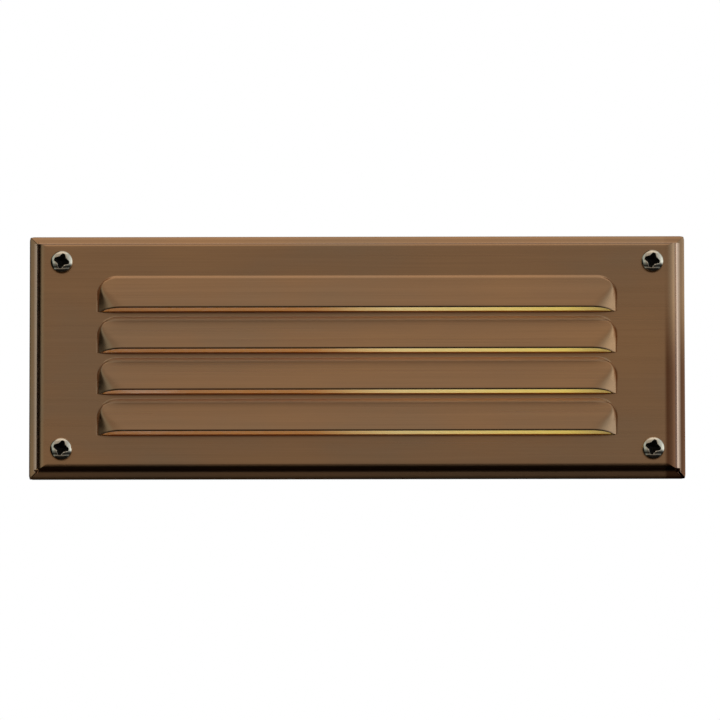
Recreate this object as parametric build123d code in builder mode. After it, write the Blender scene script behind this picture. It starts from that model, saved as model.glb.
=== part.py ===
from build123d import *
from math import atan2, cos, radians, tan
import os

# A louvred brick step light, in millimetres. X runs along the plate, Z is up, and the face of the wall
# is the plane y = 0: the plate stands out of the wall towards -Y and the housing goes back into it.

# ---- overall ----
PLATE_WIDTH = 235.0
PLATE_HEIGHT = 88.9
FACE_RISE = 6.0  # from the wall to the plate's face
BOX_DEPTH = 57.0  # from the wall to the back of the housing

# ---- face plate ----
SHEET = 1.2
FLANGE = 2.8
FLANGE_CORNER = 0.9
WALL_LEAN = 6.0  # degrees that the tray's side leans in
END_ROLL = 3.0  # outer radius of the rolled edge at the two ends
LONG_ROLL = 1.6  # and along the two long sides
LEAST_BEND = 0.3  # the tightest inner bend
MITRE_GAP = 0.5  # open cut across each corner of the flange
MITRE_LENGTH = 4.5

# ---- louvres ----
LOUVRE_COUNT = 4
LOUVRE_MARGIN_X = 24.5  # from the plate's end to the foot of a hood's end wall
LOUVRE_MARGIN_Z = 15.3  # from the plate's long edge to the first crease or the last cut
LOUVRE_STRIP = 1.84  # plain strip between one cut and the next crease
HOOD_STAND = 4.5  # how far the lip stands off the face
HOOD_SHEET = 1.0  # the hood's metal is stretched thinner than the plate's
HOOD_CORNER = 4.4  # its corner in plan, at the face
HOOD_LEAST_CORNER = 0.8
HOOD_CORNER_TAPER = 0.5  # the corner tightens by this much for each unit that the hood rises
HOOD_SPREAD = 1.2  # run of the hood's end wall for each unit that it rises
CREASE_RISE = 0.6
CREASE_RUN = 0.75
LIP_GAP = 0.9  # the lip is drawn this far up from the cut
LIP_END = 8.0  # over this length the lip comes down to the cut at each end
LIP_FOOT = 1.6  # and it meets the cut this far in from the hood's foot

# ---- face screws, 8-32 pan head, captive ----
SCREW_INSET_X = 11.6  # from the plate's end
SCREW_INSET_Z = 10.25  # from the plate's long edge
SCREW_RADIUS = 2.08
SCREW_HEAD_RADIUS = 4.1
SCREW_HEAD_HEIGHT = 2.6
SCREW_DOME = 1.1  # the last part of the head's height is domed
SCREW_TURN = -15.0  # degrees that the cross is turned, seen from the front
SCREW_HOLE_CLEARANCE = 0.27  # round the shank, in the plate
SCREW_TRAVEL = 6.6  # out of the boss, until the washer meets the plate
SCREW_ENGAGED = 6.4  # thread in the boss
CROSS_WIDTH = 5.2
CROSS_ARM = 1.15
CROSS_DEPTH = 1.7
CROSS_TAPER = 14.0
WASHER_RADIUS = 3.2
WASHER_THICK = 1.0
GROOVE_DEPTH = 0.4  # the washer sits in a groove round the shank
RUNNING = 0.05  # radial clearance of anything that turns or slides in a hole

# ---- housing ----
CAVITY_INSET_X = 10.5  # from the plate's end to the inside of the housing
CAVITY_INSET_Z = 10.95
BOX_WALL = 2.5
BOX_DRAFT = 5.0  # the long walls draw in by this much each, from the rim to the back
CAVITY_CORNER = 2.5
RIM_INSET = 5.9  # from the plate's outline to the rim's
RIM_CORNER = 3.0
GASKET_THICK = 1.8
GASKET_BORDER = 0.4  # the gasket is this much smaller than the rim
BOSS_RADIUS = 4.2
WASHER_ROOM = 0.2  # round the washer in the rim's pocket, and behind it
BOSS_FLOOR = 2.4
HOLE_SPARE = 0.8  # a blind screw hole goes this far past the screw
RIB_DEPTHS = (20.0, 45.0)  # mortar ribs, behind the wall's face
RIB_HEIGHT = 1.5
RIB_THICK = 3.0
RIB_INSET = 15.0

# ---- conduit entries, 1/2 in straight pipe thread ----
ENTRY_RADIUS = 9.9
ENTRY_BOSS_RADIUS = 13.5
ENTRY_LENGTH = 12.0
REAR_ENTRY_X = 25.0  # from the inside of the left wall
SIDE_ENTRY_Y = 27.0

# ---- fixing holes through the back ----
FIXING_INSET_X = 12.0  # from the inside of each end wall
FIXING_Z = 22.0
FIXING_RADIUS = 2.6
FIXING_PAD_RADIUS = 6.0
FIXING_PAD = 1.5

# ---- lens ----
LENS_OVERLAP_X = 4.0  # past the ends of the louvres
LENS_OVERLAP_Z = 3.35
LENS_THICK = 3.0
LENS_CORNER = 2.0
LENS_GASKET_THICK = 0.8
LENS_GASKET_BAND = 3.0
CLIP_Z = 15.0
CLIP_SHEET = 0.6
CLIP_WIDTH = 8.0
CLIP_GAP = 0.4  # between the pane's end and the clip's riser
CLIP_REACH = 4.0
CLIP_FOOT = 7.6
STUD_RADIUS = 1.42
STUD_LENGTH = 5.5
NUT_FLATS = 5.5
NUT_THICK = 2.3

# ---- optics and lamp ----
REFLECTOR_X = 105.0  # from the inside of the left wall to its left edge
REFLECTOR_MARGIN = 15.0  # from its right edge to the right wall
REFLECTOR_SHEET = 0.8
REFLECTOR_BACK_HALF = 14.0
REFLECTOR_FRONT_Y = 6.0
REFLECTOR_LIP = 2.0
REFLECTOR_EDGE = 1.5  # between the reflector's lip and the housing
PILLAR = 15.0  # how far the pillars stand off the back wall
PILLAR_RADIUS = 3.6
FIXING_SCREW_RADIUS = 1.4
FIXING_HEAD_RADIUS = 2.7
FIXING_HEAD_HEIGHT = 1.6
FIXING_HEAD_ROUND = 0.8
FIXING_SCREW_GRIP = 7.0
SMALL_CROSS_WIDTH = 3.0
SMALL_CROSS_ARM = 0.7
SMALL_CROSS_DEPTH = 1.1
BRACKET_INSET = 8.0  # from the reflector's left edge to the bracket's foot
BRACKET_SHEET = 1.2
BRACKET_FOOT = 16.0
BRACKET_WIDTH = 24.0
BRACKET_BEND = 0.8  # inner radius
BRACKET_MARGIN = 2.0  # of the upright past the lampholder's flange
BRACKET_HOLE_Z = 8.5
BRACKET_EDGE = 5.0  # from the foot's end to its holes
LAMP_OFFSET = 17.5  # from the reflector's back panel forwards to the lamp's axis
HOLDER_LENGTH = 16.0
HOLDER_HEIGHT = 16.0
HOLDER_THICK = 12.0
HOLDER_FLANGE = 2.0
HOLDER_LIP = 2.0  # the flange stands this far out all round
HOLDER_FIT = 0.2  # in the bracket's window
BARB_LENGTH = 2.5
BARB_HEIGHT = 1.0
BARB_WIDTH = 5.0
HOLDER_CORNER = 1.0
SOCKET_DEPTH = 9.5
SOCKET_HEIGHT = 10.6
SOCKET_THICK = 5.2
LAMP_SEAT = 8.5  # how much of the lamp's base is in the socket
PINCH_HEIGHT = 9.5
PINCH_THICK = 2.1
PINCH_LENGTH = 10.5
BULB_RADIUS = 7.95
BULB_LENGTH = 37.0
BULB_NECK = 3.5
NECK_RADIUS = 4.4
BULB_WALL = 0.8
BASE_WIRE_RADIUS = 0.25
BASE_WIRE_LENGTH = 7.0
BASE_WIRE_BEND = 0.5  # how far the wire stands out of the base before it folds back
BASE_WIRE_FOLD = 0.35  # radius of its two bends
SUPPORT_RADIUS = 0.25
SUPPORT_LENGTH = 12.0
WIRE_Z = 3.0  # both wires of the lamp lie this far from its middle
FILAMENT_RADIUS = 0.6
CONTACT_SHEET = 0.4
CONTACT_WIDTH = 2.6
CONTACT_GAP = 0.1  # between a contact and the wire on the lamp's base
CONTACT_SET = 1.0  # the contact's free end is this far inside the socket's mouth
LEAD_SEAT = 5.8  # how far a lead goes into the back of the lampholder

# ---- wiring ----
BLOCK_X = 60.0  # from the inside of the left wall to the terminal block's middle
BLOCK_PAD = 3.0  # the housing's pad under the block
BLOCK_LENGTH = 16.0
BLOCK_HEIGHT = 24.0
BLOCK_THICK = 13.0
BLOCK_ROUND = 1.0
BLOCK_FIT = 0.2  # round a screw's head in its well
BLOCK_HOLE_FIT = 0.1  # round a screw's shank
TERMINAL_Z = 7.0  # from the block's middle to each of its sleeves
SLEEVE_RADIUS = 2.6
SLEEVE_BORE = 1.5
SLEEVE_DEPTH = 7.5  # from the block's front to the sleeve's axis
TERMINAL_SCREW_RADIUS = 1.2
TERMINAL_HEAD_RADIUS = 2.0
TERMINAL_HEAD_HEIGHT = 1.2
TERMINAL_SCREW_X = 4.5
TERMINAL_WELL = 3.2
TERMINAL_SLOT = 0.5
TERMINAL_SLOT_DEPTH = 0.6
SLEEVE_INSET = 1.0  # from the block's end to the sleeve's
BLOCK_WELL = 3.0
BLOCK_SCREW_GRIP = 4.0
LEAD_RADIUS = 1.1
LEAD_TIP = 3.0  # the lead's end stops this far past the middle of the block
LEAD_FROM_BLOCK = 7.0  # how far a lead runs on from the block before it turns
LEAD_FROM_HOLDER = 14.0
LEAD_SHARE = 0.45  # of the shorter run beside a corner, taken up by the corner's arc

# ---- plug in the unused entry ----
PLUG_HEAD_RADIUS = 13.0
PLUG_HEAD = 3.0
PLUG_CHAMFER = 0.5
PLUG_THREAD = 10.0
PLUG_BORE = 7.0
PLUG_SLOT = 1.6
PLUG_SLOT_DEPTH = 1.5
O_RING_RADIUS = 12.2
O_RING_THICK = 1.0
O_RING_ROUND = 0.25

# ---- places that follow from the values above ----
half_width = PLATE_WIDTH / 2
half_height = PLATE_HEIGHT / 2
plate_back = -(FACE_RISE - SHEET)
screw_x = half_width - SCREW_INSET_X
screw_z = half_height - SCREW_INSET_Z
louvre_half = half_width - LOUVRE_MARGIN_X
louvre_top = half_height - LOUVRE_MARGIN_Z
louvre_pitch = (2 * louvre_top + LOUVRE_STRIP) / LOUVRE_COUNT
hood_drop = louvre_pitch - LOUVRE_STRIP
cavity_x = half_width - CAVITY_INSET_X
cavity_z = half_height - CAVITY_INSET_Z
rim_front = plate_back + GASKET_THICK
box_inside = BOX_DEPTH - BOX_WALL
washer_front = plate_back + SCREW_TRAVEL
boss_front = washer_front + WASHER_THICK + 2 * WASHER_ROOM
screw_tip = boss_front + SCREW_ENGAGED
boss_back = screw_tip + BOSS_FLOOR
lens_x = louvre_half + LENS_OVERLAP_X
lens_z = louvre_top + LENS_OVERLAP_Z
lens_front = plate_back + LENS_GASKET_THICK
lens_back = lens_front + LENS_THICK
left = -cavity_x
reflector_left = left + REFLECTOR_X
bracket_left = reflector_left + BRACKET_INSET
reflector_right = cavity_x - REFLECTOR_MARGIN
pillar_front = box_inside - PILLAR
panel_front = pillar_front - REFLECTOR_SHEET
foot_front = panel_front - BRACKET_SHEET
lamp_y = panel_front - LAMP_OFFSET
bracket_face = bracket_left + BRACKET_FOOT
holder_front = bracket_face + HOLDER_FLANGE
holder_back = bracket_face - HOLDER_LENGTH
lamp_base = holder_front - LAMP_SEAT
lamp_tip = lamp_base + BULB_LENGTH
block_x = left + BLOCK_X
block_back = box_inside - BLOCK_PAD
block_front = block_back - BLOCK_THICK
sleeve_y = block_front + SLEEVE_DEPTH
entry_x = left + REAR_ENTRY_X
outer_x = cavity_x + BOX_WALL
outer_z = cavity_z + BOX_WALL


def drawn_in(y):
    """How far each long wall of the housing has drawn in at y."""
    return BOX_DRAFT * (y - rim_front) / (BOX_DEPTH - rim_front)


CORNERS = {
    "top_left": (-screw_x, screw_z),
    "top_right": (screw_x, screw_z),
    "bottom_left": (-screw_x, -screw_z),
    "bottom_right": (screw_x, -screw_z),
}


def facing(y):
    """The plane at y that faces the viewer: its own x and y run along X and Z, and it extrudes to -Y."""
    return Plane.XZ.offset(-y)


def write(name, part):
    """Labels a finished piece and writes it under its own name."""
    part.label = name
    export_step(part, f"parts/{name}.step")


os.makedirs("parts", exist_ok=True)


# ==== face plate ====
# A shallow tray pressed from one sheet, with its edge turned out into a flange that lies on the wall.
def tray_form(inset, front, end_roll, long_roll):
    """The tray's solid form, its sides set in by inset, with rolled front edges."""
    with BuildPart() as form:
        with BuildSketch(facing(0)):
            Rectangle(2 * (half_width - FLANGE - inset), 2 * (half_height - FLANGE - inset))
        extrude(amount=front, taper=WALL_LEAN)
        fillet(form.faces().sort_by(Axis.Y)[0].edges().filter_by(Axis.Z), end_roll)
        fillet(form.faces().sort_by(Axis.Y)[0].edges().filter_by(Axis.X), long_roll)
    return form.part


# A hood is a wedge that starts at its crease and grows down to its lip, closed by sloping ends.
def hood_block(inset, low, high):
    """The hood's outline in plan, drawn in as it rises; z = 0 is its crease and low, high are heights."""
    foot = -hood_drop - 2 * HOOD_CORNER
    with BuildPart() as block:
        for rise in (low, high):
            half = louvre_half - inset - HOOD_SPREAD * rise
            top = -inset - HOOD_SPREAD * rise
            corner = max(HOOD_CORNER - inset - HOOD_CORNER_TAPER * rise, HOOD_LEAST_CORNER)
            with BuildSketch(facing(-FACE_RISE - rise)) as outline:
                with Locations((0, (top + foot) / 2)):
                    Rectangle(2 * half, top - foot)
                fillet(outline.vertices().group_by(Axis.Y)[-1], corner)
        loft(ruled=True)
    return block.part


def hood_wedge(sink, back):
    """The room under the hood's sheet, sunk by sink below its outer face, from y = back outwards."""
    face_angle = atan2(HOOD_STAND - CREASE_RISE, hood_drop - LIP_GAP - CREASE_RUN)
    step = (HOOD_STAND - CREASE_RISE) / (hood_drop - LIP_GAP - CREASE_RUN)
    drop = sink / cos(face_angle)
    reach = hood_drop + 2 * HOOD_CORNER
    with BuildPart() as wedge:
        with BuildSketch(Plane.YZ):
            with BuildLine():
                Polyline(
                    (back, -sink),
                    (-FACE_RISE + sink, -sink),
                    (-FACE_RISE - CREASE_RISE + drop, -CREASE_RUN - sink * step),
                    (-FACE_RISE - CREASE_RISE - step * (reach - CREASE_RUN) + drop, -reach),
                    (back, -reach),
                    close=True,
                )
            make_face()
        extrude(amount=half_width, both=True)
    return wedge.part


def lip_gap():
    """What is open below the lip: a long slot, flat on the cut, its top curving down at both ends."""
    end = louvre_half - LIP_FOOT
    with BuildPart() as gap:
        with BuildSketch(facing(plate_back)):
            with BuildLine():
                Line((-end, -hood_drop), (end, -hood_drop))
                Spline(
                    (end, -hood_drop),
                    (end - LIP_END, LIP_GAP - hood_drop),
                    tangents=((-1, 0.9), (-1, 0)),
                )
                Line((end - LIP_END, LIP_GAP - hood_drop), (LIP_END - end, LIP_GAP - hood_drop))
                Spline(
                    (LIP_END - end, LIP_GAP - hood_drop),
                    (-end, -hood_drop),
                    tangents=((-1, 0), (-1, -0.9)),
                )
            make_face()
        extrude(amount=FACE_RISE + HOOD_STAND)
    return gap.part


def above(z, part):
    """What the part holds above height z."""
    return split(part, bisect_by=Plane.XY.offset(z), keep=Keep.TOP)


hood_solid = hood_block(0, -SHEET / 2, HOOD_STAND + SHEET) & hood_wedge(0, SHEET / 2 - FACE_RISE)
hood_hollow = hood_block(HOOD_SHEET, -2 * SHEET, HOOD_STAND) & hood_wedge(HOOD_SHEET, 2 * SHEET - FACE_RISE)
hood_outside = above(-hood_drop, hood_solid)
hood_room = above(-hood_drop, hood_hollow)
hood_gap = lip_gap()
tray_outside = tray_form(0, FACE_RISE, END_ROLL, LONG_ROLL)
tray_room = tray_form(
    SHEET,
    FACE_RISE - SHEET,
    max(END_ROLL - SHEET, LEAST_BEND),
    max(LONG_ROLL - SHEET, LEAST_BEND),
)

with BuildPart() as face_plate:
    with BuildSketch(facing(0)):
        RectangleRounded(PLATE_WIDTH, PLATE_HEIGHT, FLANGE_CORNER)
    extrude(amount=SHEET)
    add(tray_outside)
    add(tray_room, mode=Mode.SUBTRACT)
    for row in range(LOUVRE_COUNT):
        crease = louvre_top - row * louvre_pitch
        add(Pos(0, 0, crease) * hood_outside)
        add(Pos(0, 0, crease) * hood_room, mode=Mode.SUBTRACT)
        add(Pos(0, 0, crease) * hood_gap, mode=Mode.SUBTRACT)
    with Locations(facing(-FACE_RISE)):
        with Locations(*CORNERS.values()):
            Hole(SCREW_RADIUS + SCREW_HOLE_CLEARANCE, SHEET)
    for side_x in (-1, 1):
        for side_z in (-1, 1):
            corner = (side_x * (half_width - FLANGE / 2), side_z * (half_height - FLANGE / 2))
            with BuildSketch(facing(0)):
                with Locations(corner):
                    Rectangle(MITRE_LENGTH, MITRE_GAP, rotation=45 * side_x * side_z)
            extrude(amount=SHEET, mode=Mode.SUBTRACT)
write("face_plate", face_plate.part)


# ==== captive face screws and their retaining washers ====
def cross_recess(reach, arm, depth):
    """The cutter for a cross recess that opens towards the viewer at y = 0 and narrows as it goes in."""
    with BuildPart() as cross:
        with BuildSketch(facing(0)):
            Rectangle(reach, arm)
            Rectangle(arm, reach)
            Circle(arm)
        extrude(amount=-depth, taper=CROSS_TAPER)
    return cross.part


recess = Rot(0, -SCREW_TURN, 0) * cross_recess(CROSS_WIDTH, CROSS_ARM, CROSS_DEPTH)
head_top = -FACE_RISE - SCREW_HEAD_HEIGHT

for corner_name, (x, z) in CORNERS.items():
    with BuildPart() as face_screw:
        with BuildSketch(Plane(origin=(x, 0, z), x_dir=(1, 0, 0), z_dir=(0, 0, 1))):
            with BuildLine():
                Line((0, head_top), (0, screw_tip))
                Polyline(
                    (0, screw_tip),
                    (SCREW_RADIUS - GROOVE_DEPTH, screw_tip),
                    (SCREW_RADIUS, screw_tip - GROOVE_DEPTH),
                    (SCREW_RADIUS, washer_front + WASHER_THICK + RUNNING),
                    (SCREW_RADIUS - GROOVE_DEPTH, washer_front + WASHER_THICK + RUNNING),
                    (SCREW_RADIUS - GROOVE_DEPTH, washer_front - RUNNING),
                    (SCREW_RADIUS, washer_front - RUNNING),
                    (SCREW_RADIUS, -FACE_RISE),
                    (SCREW_HEAD_RADIUS, -FACE_RISE),
                    (SCREW_HEAD_RADIUS, head_top + SCREW_DOME),
                )
                EllipticalCenterArc(
                    (0, head_top + SCREW_DOME),
                    SCREW_HEAD_RADIUS,
                    SCREW_DOME,
                    start_angle=270,
                    arc_size=90,
                )
            make_face()
        revolve(axis=Axis((x, 0, z), (0, 1, 0)))
        add(Pos(x, head_top, z) * recess, mode=Mode.SUBTRACT)
    write(f"face_screw_{corner_name}", face_screw.part)

    with BuildPart() as washer:
        with BuildSketch(facing(washer_front + WASHER_THICK)):
            with Locations((x, z)):
                Circle(WASHER_RADIUS)
                Circle(SCREW_RADIUS - GROOVE_DEPTH + RUNNING, mode=Mode.SUBTRACT)
        extrude(amount=WASHER_THICK)
    write(f"retaining_washer_{corner_name}", washer.part)


# ==== lens pane, its gasket, and the clips that hold it on the back of the plate ====
with BuildPart() as lens_gasket:
    with BuildSketch(facing(lens_front)):
        RectangleRounded(2 * lens_x, 2 * lens_z, LENS_CORNER)
        Rectangle(2 * (lens_x - LENS_GASKET_BAND), 2 * (lens_z - LENS_GASKET_BAND), mode=Mode.SUBTRACT)
    extrude(amount=LENS_GASKET_THICK)
write("lens_gasket", lens_gasket.part)

with BuildPart() as lens_glass:
    with BuildSketch(facing(lens_back)):
        RectangleRounded(2 * lens_x, 2 * lens_z, LENS_CORNER)
    extrude(amount=LENS_THICK)
write("lens_glass", lens_glass.part)

riser_x = lens_x + CLIP_GAP
stud_x = riser_x + CLIP_FOOT / 2 + CLIP_SHEET
stud_places = [(side * stud_x, z) for side in (-1, 1) for z in (-CLIP_Z, CLIP_Z)]


def lens_clip(side):
    """One clip's outline seen from above: foot on the plate, riser past the pane, finger over its back."""
    foot_end = riser_x + CLIP_SHEET + CLIP_FOOT
    points = [
        (riser_x, plate_back),
        (foot_end, plate_back),
        (foot_end, plate_back + CLIP_SHEET),
        (riser_x + CLIP_SHEET, plate_back + CLIP_SHEET),
        (riser_x + CLIP_SHEET, lens_back + CLIP_SHEET),
        (riser_x - CLIP_REACH, lens_back + CLIP_SHEET),
        (riser_x - CLIP_REACH, lens_back),
        (riser_x, lens_back),
    ]
    return [(side * x, y) for x, y in points]


with BuildPart() as lens_clips:
    for side in (-1, 1):
        for z in (-CLIP_Z, CLIP_Z):
            with BuildSketch(Plane.XY.offset(z - CLIP_WIDTH / 2)):
                with BuildLine():
                    Polyline(*lens_clip(side), close=True)
                make_face()
            extrude(amount=CLIP_WIDTH)
    with BuildSketch(facing(plate_back + CLIP_SHEET)):
        with Locations(*stud_places):
            Circle(STUD_RADIUS + RUNNING)
    extrude(amount=CLIP_SHEET, mode=Mode.SUBTRACT)
write("lens_clips", lens_clips.part)

with BuildPart() as clip_studs:
    with BuildSketch(facing(plate_back + STUD_LENGTH)):
        with Locations(*stud_places):
            Circle(STUD_RADIUS)
    extrude(amount=STUD_LENGTH)
write("clip_studs", clip_studs.part)

with BuildPart() as clip_nuts:
    with BuildSketch(facing(plate_back + CLIP_SHEET + NUT_THICK)):
        with Locations(*stud_places):
            RegularPolygon(NUT_FLATS / 2, 6, major_radius=False)
            Circle(STUD_RADIUS + RUNNING, mode=Mode.SUBTRACT)
    extrude(amount=NUT_THICK)
write("clip_nuts", clip_nuts.part)


# ==== housing ====
# A cast box with draft above and below: its rim lies on the wall inside the tray, and bosses at the
# corners take the face screws.
reflector_screws_x = reflector_right - REFLECTOR_BACK_HALF
bracket_screws_x = bracket_left + BRACKET_EDGE
reflector_screw_places = [(reflector_screws_x, -BRACKET_HOLE_Z), (reflector_screws_x, BRACKET_HOLE_Z)]
bracket_screw_places = [(bracket_screws_x, -BRACKET_HOLE_Z), (bracket_screws_x, BRACKET_HOLE_Z)]
pillar_places = reflector_screw_places + bracket_screw_places
fixing_places = [(-cavity_x + FIXING_INSET_X, FIXING_Z), (cavity_x - FIXING_INSET_X, FIXING_Z)]

with BuildPart() as housing:
    for y in (rim_front, BOX_DEPTH):
        with BuildSketch(facing(y)):
            RectangleRounded(2 * outer_x, 2 * (outer_z - drawn_in(y)), CAVITY_CORNER + BOX_WALL)
    loft(ruled=True)
    for depth in RIB_DEPTHS:
        rib_z = outer_z - drawn_in(depth + RIB_THICK) + RIB_HEIGHT
        with BuildSketch(facing(depth + RIB_THICK)):
            Rectangle(2 * (outer_x - RIB_INSET), 2 * rib_z)
        extrude(amount=RIB_THICK)
    with BuildSketch(facing(0)):
        RectangleRounded(2 * (half_width - RIM_INSET), 2 * (half_height - RIM_INSET), RIM_CORNER)
    extrude(amount=-rim_front)
    with BuildSketch(facing(boss_back)):
        with Locations(*CORNERS.values()):
            Circle(BOSS_RADIUS)
    extrude(amount=boss_back)
    for y in (rim_front, box_inside):
        with BuildSketch(facing(y)):
            RectangleRounded(2 * cavity_x, 2 * (cavity_z - drawn_in(y)), CAVITY_CORNER)
    loft(ruled=True, mode=Mode.SUBTRACT)
    with BuildSketch(facing(boss_back)):
        with Locations(*CORNERS.values()):
            Circle(BOSS_RADIUS)
    extrude(amount=boss_back - boss_front)
    with Locations(facing(rim_front)):
        with Locations(*CORNERS.values()):
            CounterBoreHole(
                SCREW_RADIUS + RUNNING,
                WASHER_RADIUS + WASHER_ROOM,
                boss_front - rim_front,
                screw_tip + HOLE_SPARE - rim_front,
            )
    with BuildSketch(facing(box_inside)):
        with Locations(*pillar_places):
            Circle(PILLAR_RADIUS)
    extrude(amount=PILLAR)
    with Locations(facing(pillar_front)):
        with Locations(*pillar_places):
            Hole(FIXING_SCREW_RADIUS + RUNNING, FIXING_SCREW_GRIP + HOLE_SPARE)
    with BuildSketch(facing(box_inside)):
        with Locations((entry_x, 0)):
            Circle(ENTRY_BOSS_RADIUS)
    extrude(amount=ENTRY_LENGTH - BOX_WALL)
    with BuildSketch(Plane.YZ.offset(left - BOX_WALL)):
        with Locations((SIDE_ENTRY_Y, 0)):
            Circle(ENTRY_BOSS_RADIUS)
    extrude(amount=ENTRY_LENGTH)
    with BuildSketch(facing(BOX_DEPTH)):
        with Locations((entry_x, 0)):
            Circle(ENTRY_RADIUS)
    extrude(amount=ENTRY_LENGTH, mode=Mode.SUBTRACT)
    with BuildSketch(Plane.YZ.offset(left - BOX_WALL)):
        with Locations((SIDE_ENTRY_Y, 0)):
            Circle(ENTRY_RADIUS)
    extrude(amount=ENTRY_LENGTH, mode=Mode.SUBTRACT)
    with BuildSketch(facing(box_inside)):
        with Locations(*fixing_places):
            Circle(FIXING_PAD_RADIUS)
    extrude(amount=FIXING_PAD)
    with BuildSketch(facing(BOX_DEPTH)):
        with Locations(*fixing_places):
            Circle(FIXING_RADIUS)
    extrude(amount=BOX_WALL + FIXING_PAD, mode=Mode.SUBTRACT)
    with BuildSketch(facing(box_inside)):
        with Locations((block_x, 0)):
            Rectangle(BLOCK_LENGTH, BLOCK_HEIGHT)
    extrude(amount=BLOCK_PAD)
    with Locations(facing(block_back)):
        with Locations((block_x, 0)):
            Hole(FIXING_SCREW_RADIUS + RUNNING, BLOCK_SCREW_GRIP + HOLE_SPARE)
write("housing", housing.part)

with BuildPart() as rim_gasket:
    with BuildSketch(facing(rim_front)):
        RectangleRounded(
            2 * (half_width - RIM_INSET - GASKET_BORDER),
            2 * (half_height - RIM_INSET - GASKET_BORDER),
            RIM_CORNER,
        )
        RectangleRounded(2 * cavity_x, 2 * cavity_z, CAVITY_CORNER, mode=Mode.SUBTRACT)
        with Locations(*CORNERS.values()):
            Circle(WASHER_RADIUS + WASHER_ROOM, mode=Mode.SUBTRACT)
    extrude(amount=GASKET_THICK)
write("rim_gasket", rim_gasket.part)


# ==== reflector: an open trough folded from bright aluminium ====
lip_z = cavity_z - drawn_in(REFLECTOR_FRONT_Y) - REFLECTOR_EDGE
trough = [
    (REFLECTOR_FRONT_Y - REFLECTOR_LIP, lip_z),
    (REFLECTOR_FRONT_Y, lip_z),
    (pillar_front, REFLECTOR_BACK_HALF),
    (pillar_front, -REFLECTOR_BACK_HALF),
    (REFLECTOR_FRONT_Y, -lip_z),
    (REFLECTOR_FRONT_Y - REFLECTOR_LIP, -lip_z),
]
trough_inside = [
    (REFLECTOR_FRONT_Y - REFLECTOR_LIP, lip_z - REFLECTOR_SHEET),
    (REFLECTOR_FRONT_Y, lip_z - REFLECTOR_SHEET),
    (panel_front, REFLECTOR_BACK_HALF - REFLECTOR_SHEET),
    (panel_front, REFLECTOR_SHEET - REFLECTOR_BACK_HALF),
    (REFLECTOR_FRONT_Y, REFLECTOR_SHEET - lip_z),
    (REFLECTOR_FRONT_Y - REFLECTOR_LIP, REFLECTOR_SHEET - lip_z),
]

with BuildPart() as reflector:
    with BuildSketch(Plane.YZ.offset(reflector_left)):
        with BuildLine():
            Polyline(*trough, *reversed(trough_inside), close=True)
        make_face()
    extrude(amount=reflector_right - reflector_left)
    with Locations(facing(panel_front)):
        with Locations(*pillar_places):
            Hole(FIXING_SCREW_RADIUS + RUNNING, REFLECTOR_SHEET)
write("reflector", reflector.part)


def fixing_screws(places, seat, grip_from, grip):
    """Round head thread-forming screws, head on seat, gripping from grip_from."""
    with BuildPart() as screws:
        with BuildSketch(facing(seat)):
            with Locations(*places):
                Circle(FIXING_HEAD_RADIUS)
        extrude(amount=FIXING_HEAD_HEIGHT)
        fillet(screws.faces().filter_by(Axis.Y).group_by(Axis.Y)[0].edges(), FIXING_HEAD_ROUND)
        with BuildSketch(facing(grip_from + grip)):
            with Locations(*places):
                Circle(FIXING_SCREW_RADIUS)
        extrude(amount=grip_from + grip - seat)
        for x, z in places:
            add(Pos(x, seat - FIXING_HEAD_HEIGHT, z) * small_cross, mode=Mode.SUBTRACT)
    return screws.part


small_cross = cross_recess(SMALL_CROSS_WIDTH, SMALL_CROSS_ARM, SMALL_CROSS_DEPTH)
write(
    "reflector_screws",
    fixing_screws(reflector_screw_places, panel_front, pillar_front, FIXING_SCREW_GRIP),
)


# ==== lampholder on its bracket ====
bracket_top = lamp_y - HOLDER_THICK / 2 - HOLDER_LIP - BRACKET_MARGIN

with BuildPart() as lampholder_bracket:
    with BuildSketch(Plane.XY.offset(-BRACKET_WIDTH / 2)):
        with BuildLine():
            Polyline(
                (bracket_left, panel_front),
                (bracket_face, panel_front),
                (bracket_face, bracket_top),
                (bracket_face - BRACKET_SHEET, bracket_top),
                (bracket_face - BRACKET_SHEET, foot_front),
                (bracket_left, foot_front),
                close=True,
            )
        make_face()
    extrude(amount=BRACKET_WIDTH)
    for fold_y, radius in ((panel_front, BRACKET_BEND + BRACKET_SHEET), (foot_front, BRACKET_BEND)):
        upright_edges = lampholder_bracket.edges().filter_by(Axis.Z)
        fold_edges = upright_edges.filter_by_position(Axis.Y, fold_y, fold_y)
        fillet(fold_edges.sort_by(Axis.X)[-1], radius)
    with BuildSketch(Plane.YZ.offset(bracket_face)):
        with Locations((lamp_y, 0)):
            Rectangle(HOLDER_THICK + 2 * HOLDER_FIT, HOLDER_HEIGHT + 2 * HOLDER_FIT)
    extrude(amount=-BRACKET_SHEET, mode=Mode.SUBTRACT)
    with Locations(facing(foot_front)):
        with Locations(*bracket_screw_places):
            Hole(FIXING_SCREW_RADIUS + RUNNING, BRACKET_SHEET)
write("lampholder_bracket", lampholder_bracket.part)

write(
    "bracket_screws",
    fixing_screws(bracket_screw_places, foot_front, pillar_front, FIXING_SCREW_GRIP),
)

wire_offset = PINCH_THICK / 2 + BASE_WIRE_RADIUS
contact_inner = wire_offset + BASE_WIRE_RADIUS + CONTACT_GAP
contact_middle = contact_inner + CONTACT_SHEET / 2
socket_floor = holder_front - SOCKET_DEPTH
lead_start = holder_back + LEAD_SEAT
pole_places = [(lamp_y + contact_middle, WIRE_Z), (lamp_y - contact_middle, -WIRE_Z)]

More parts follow.
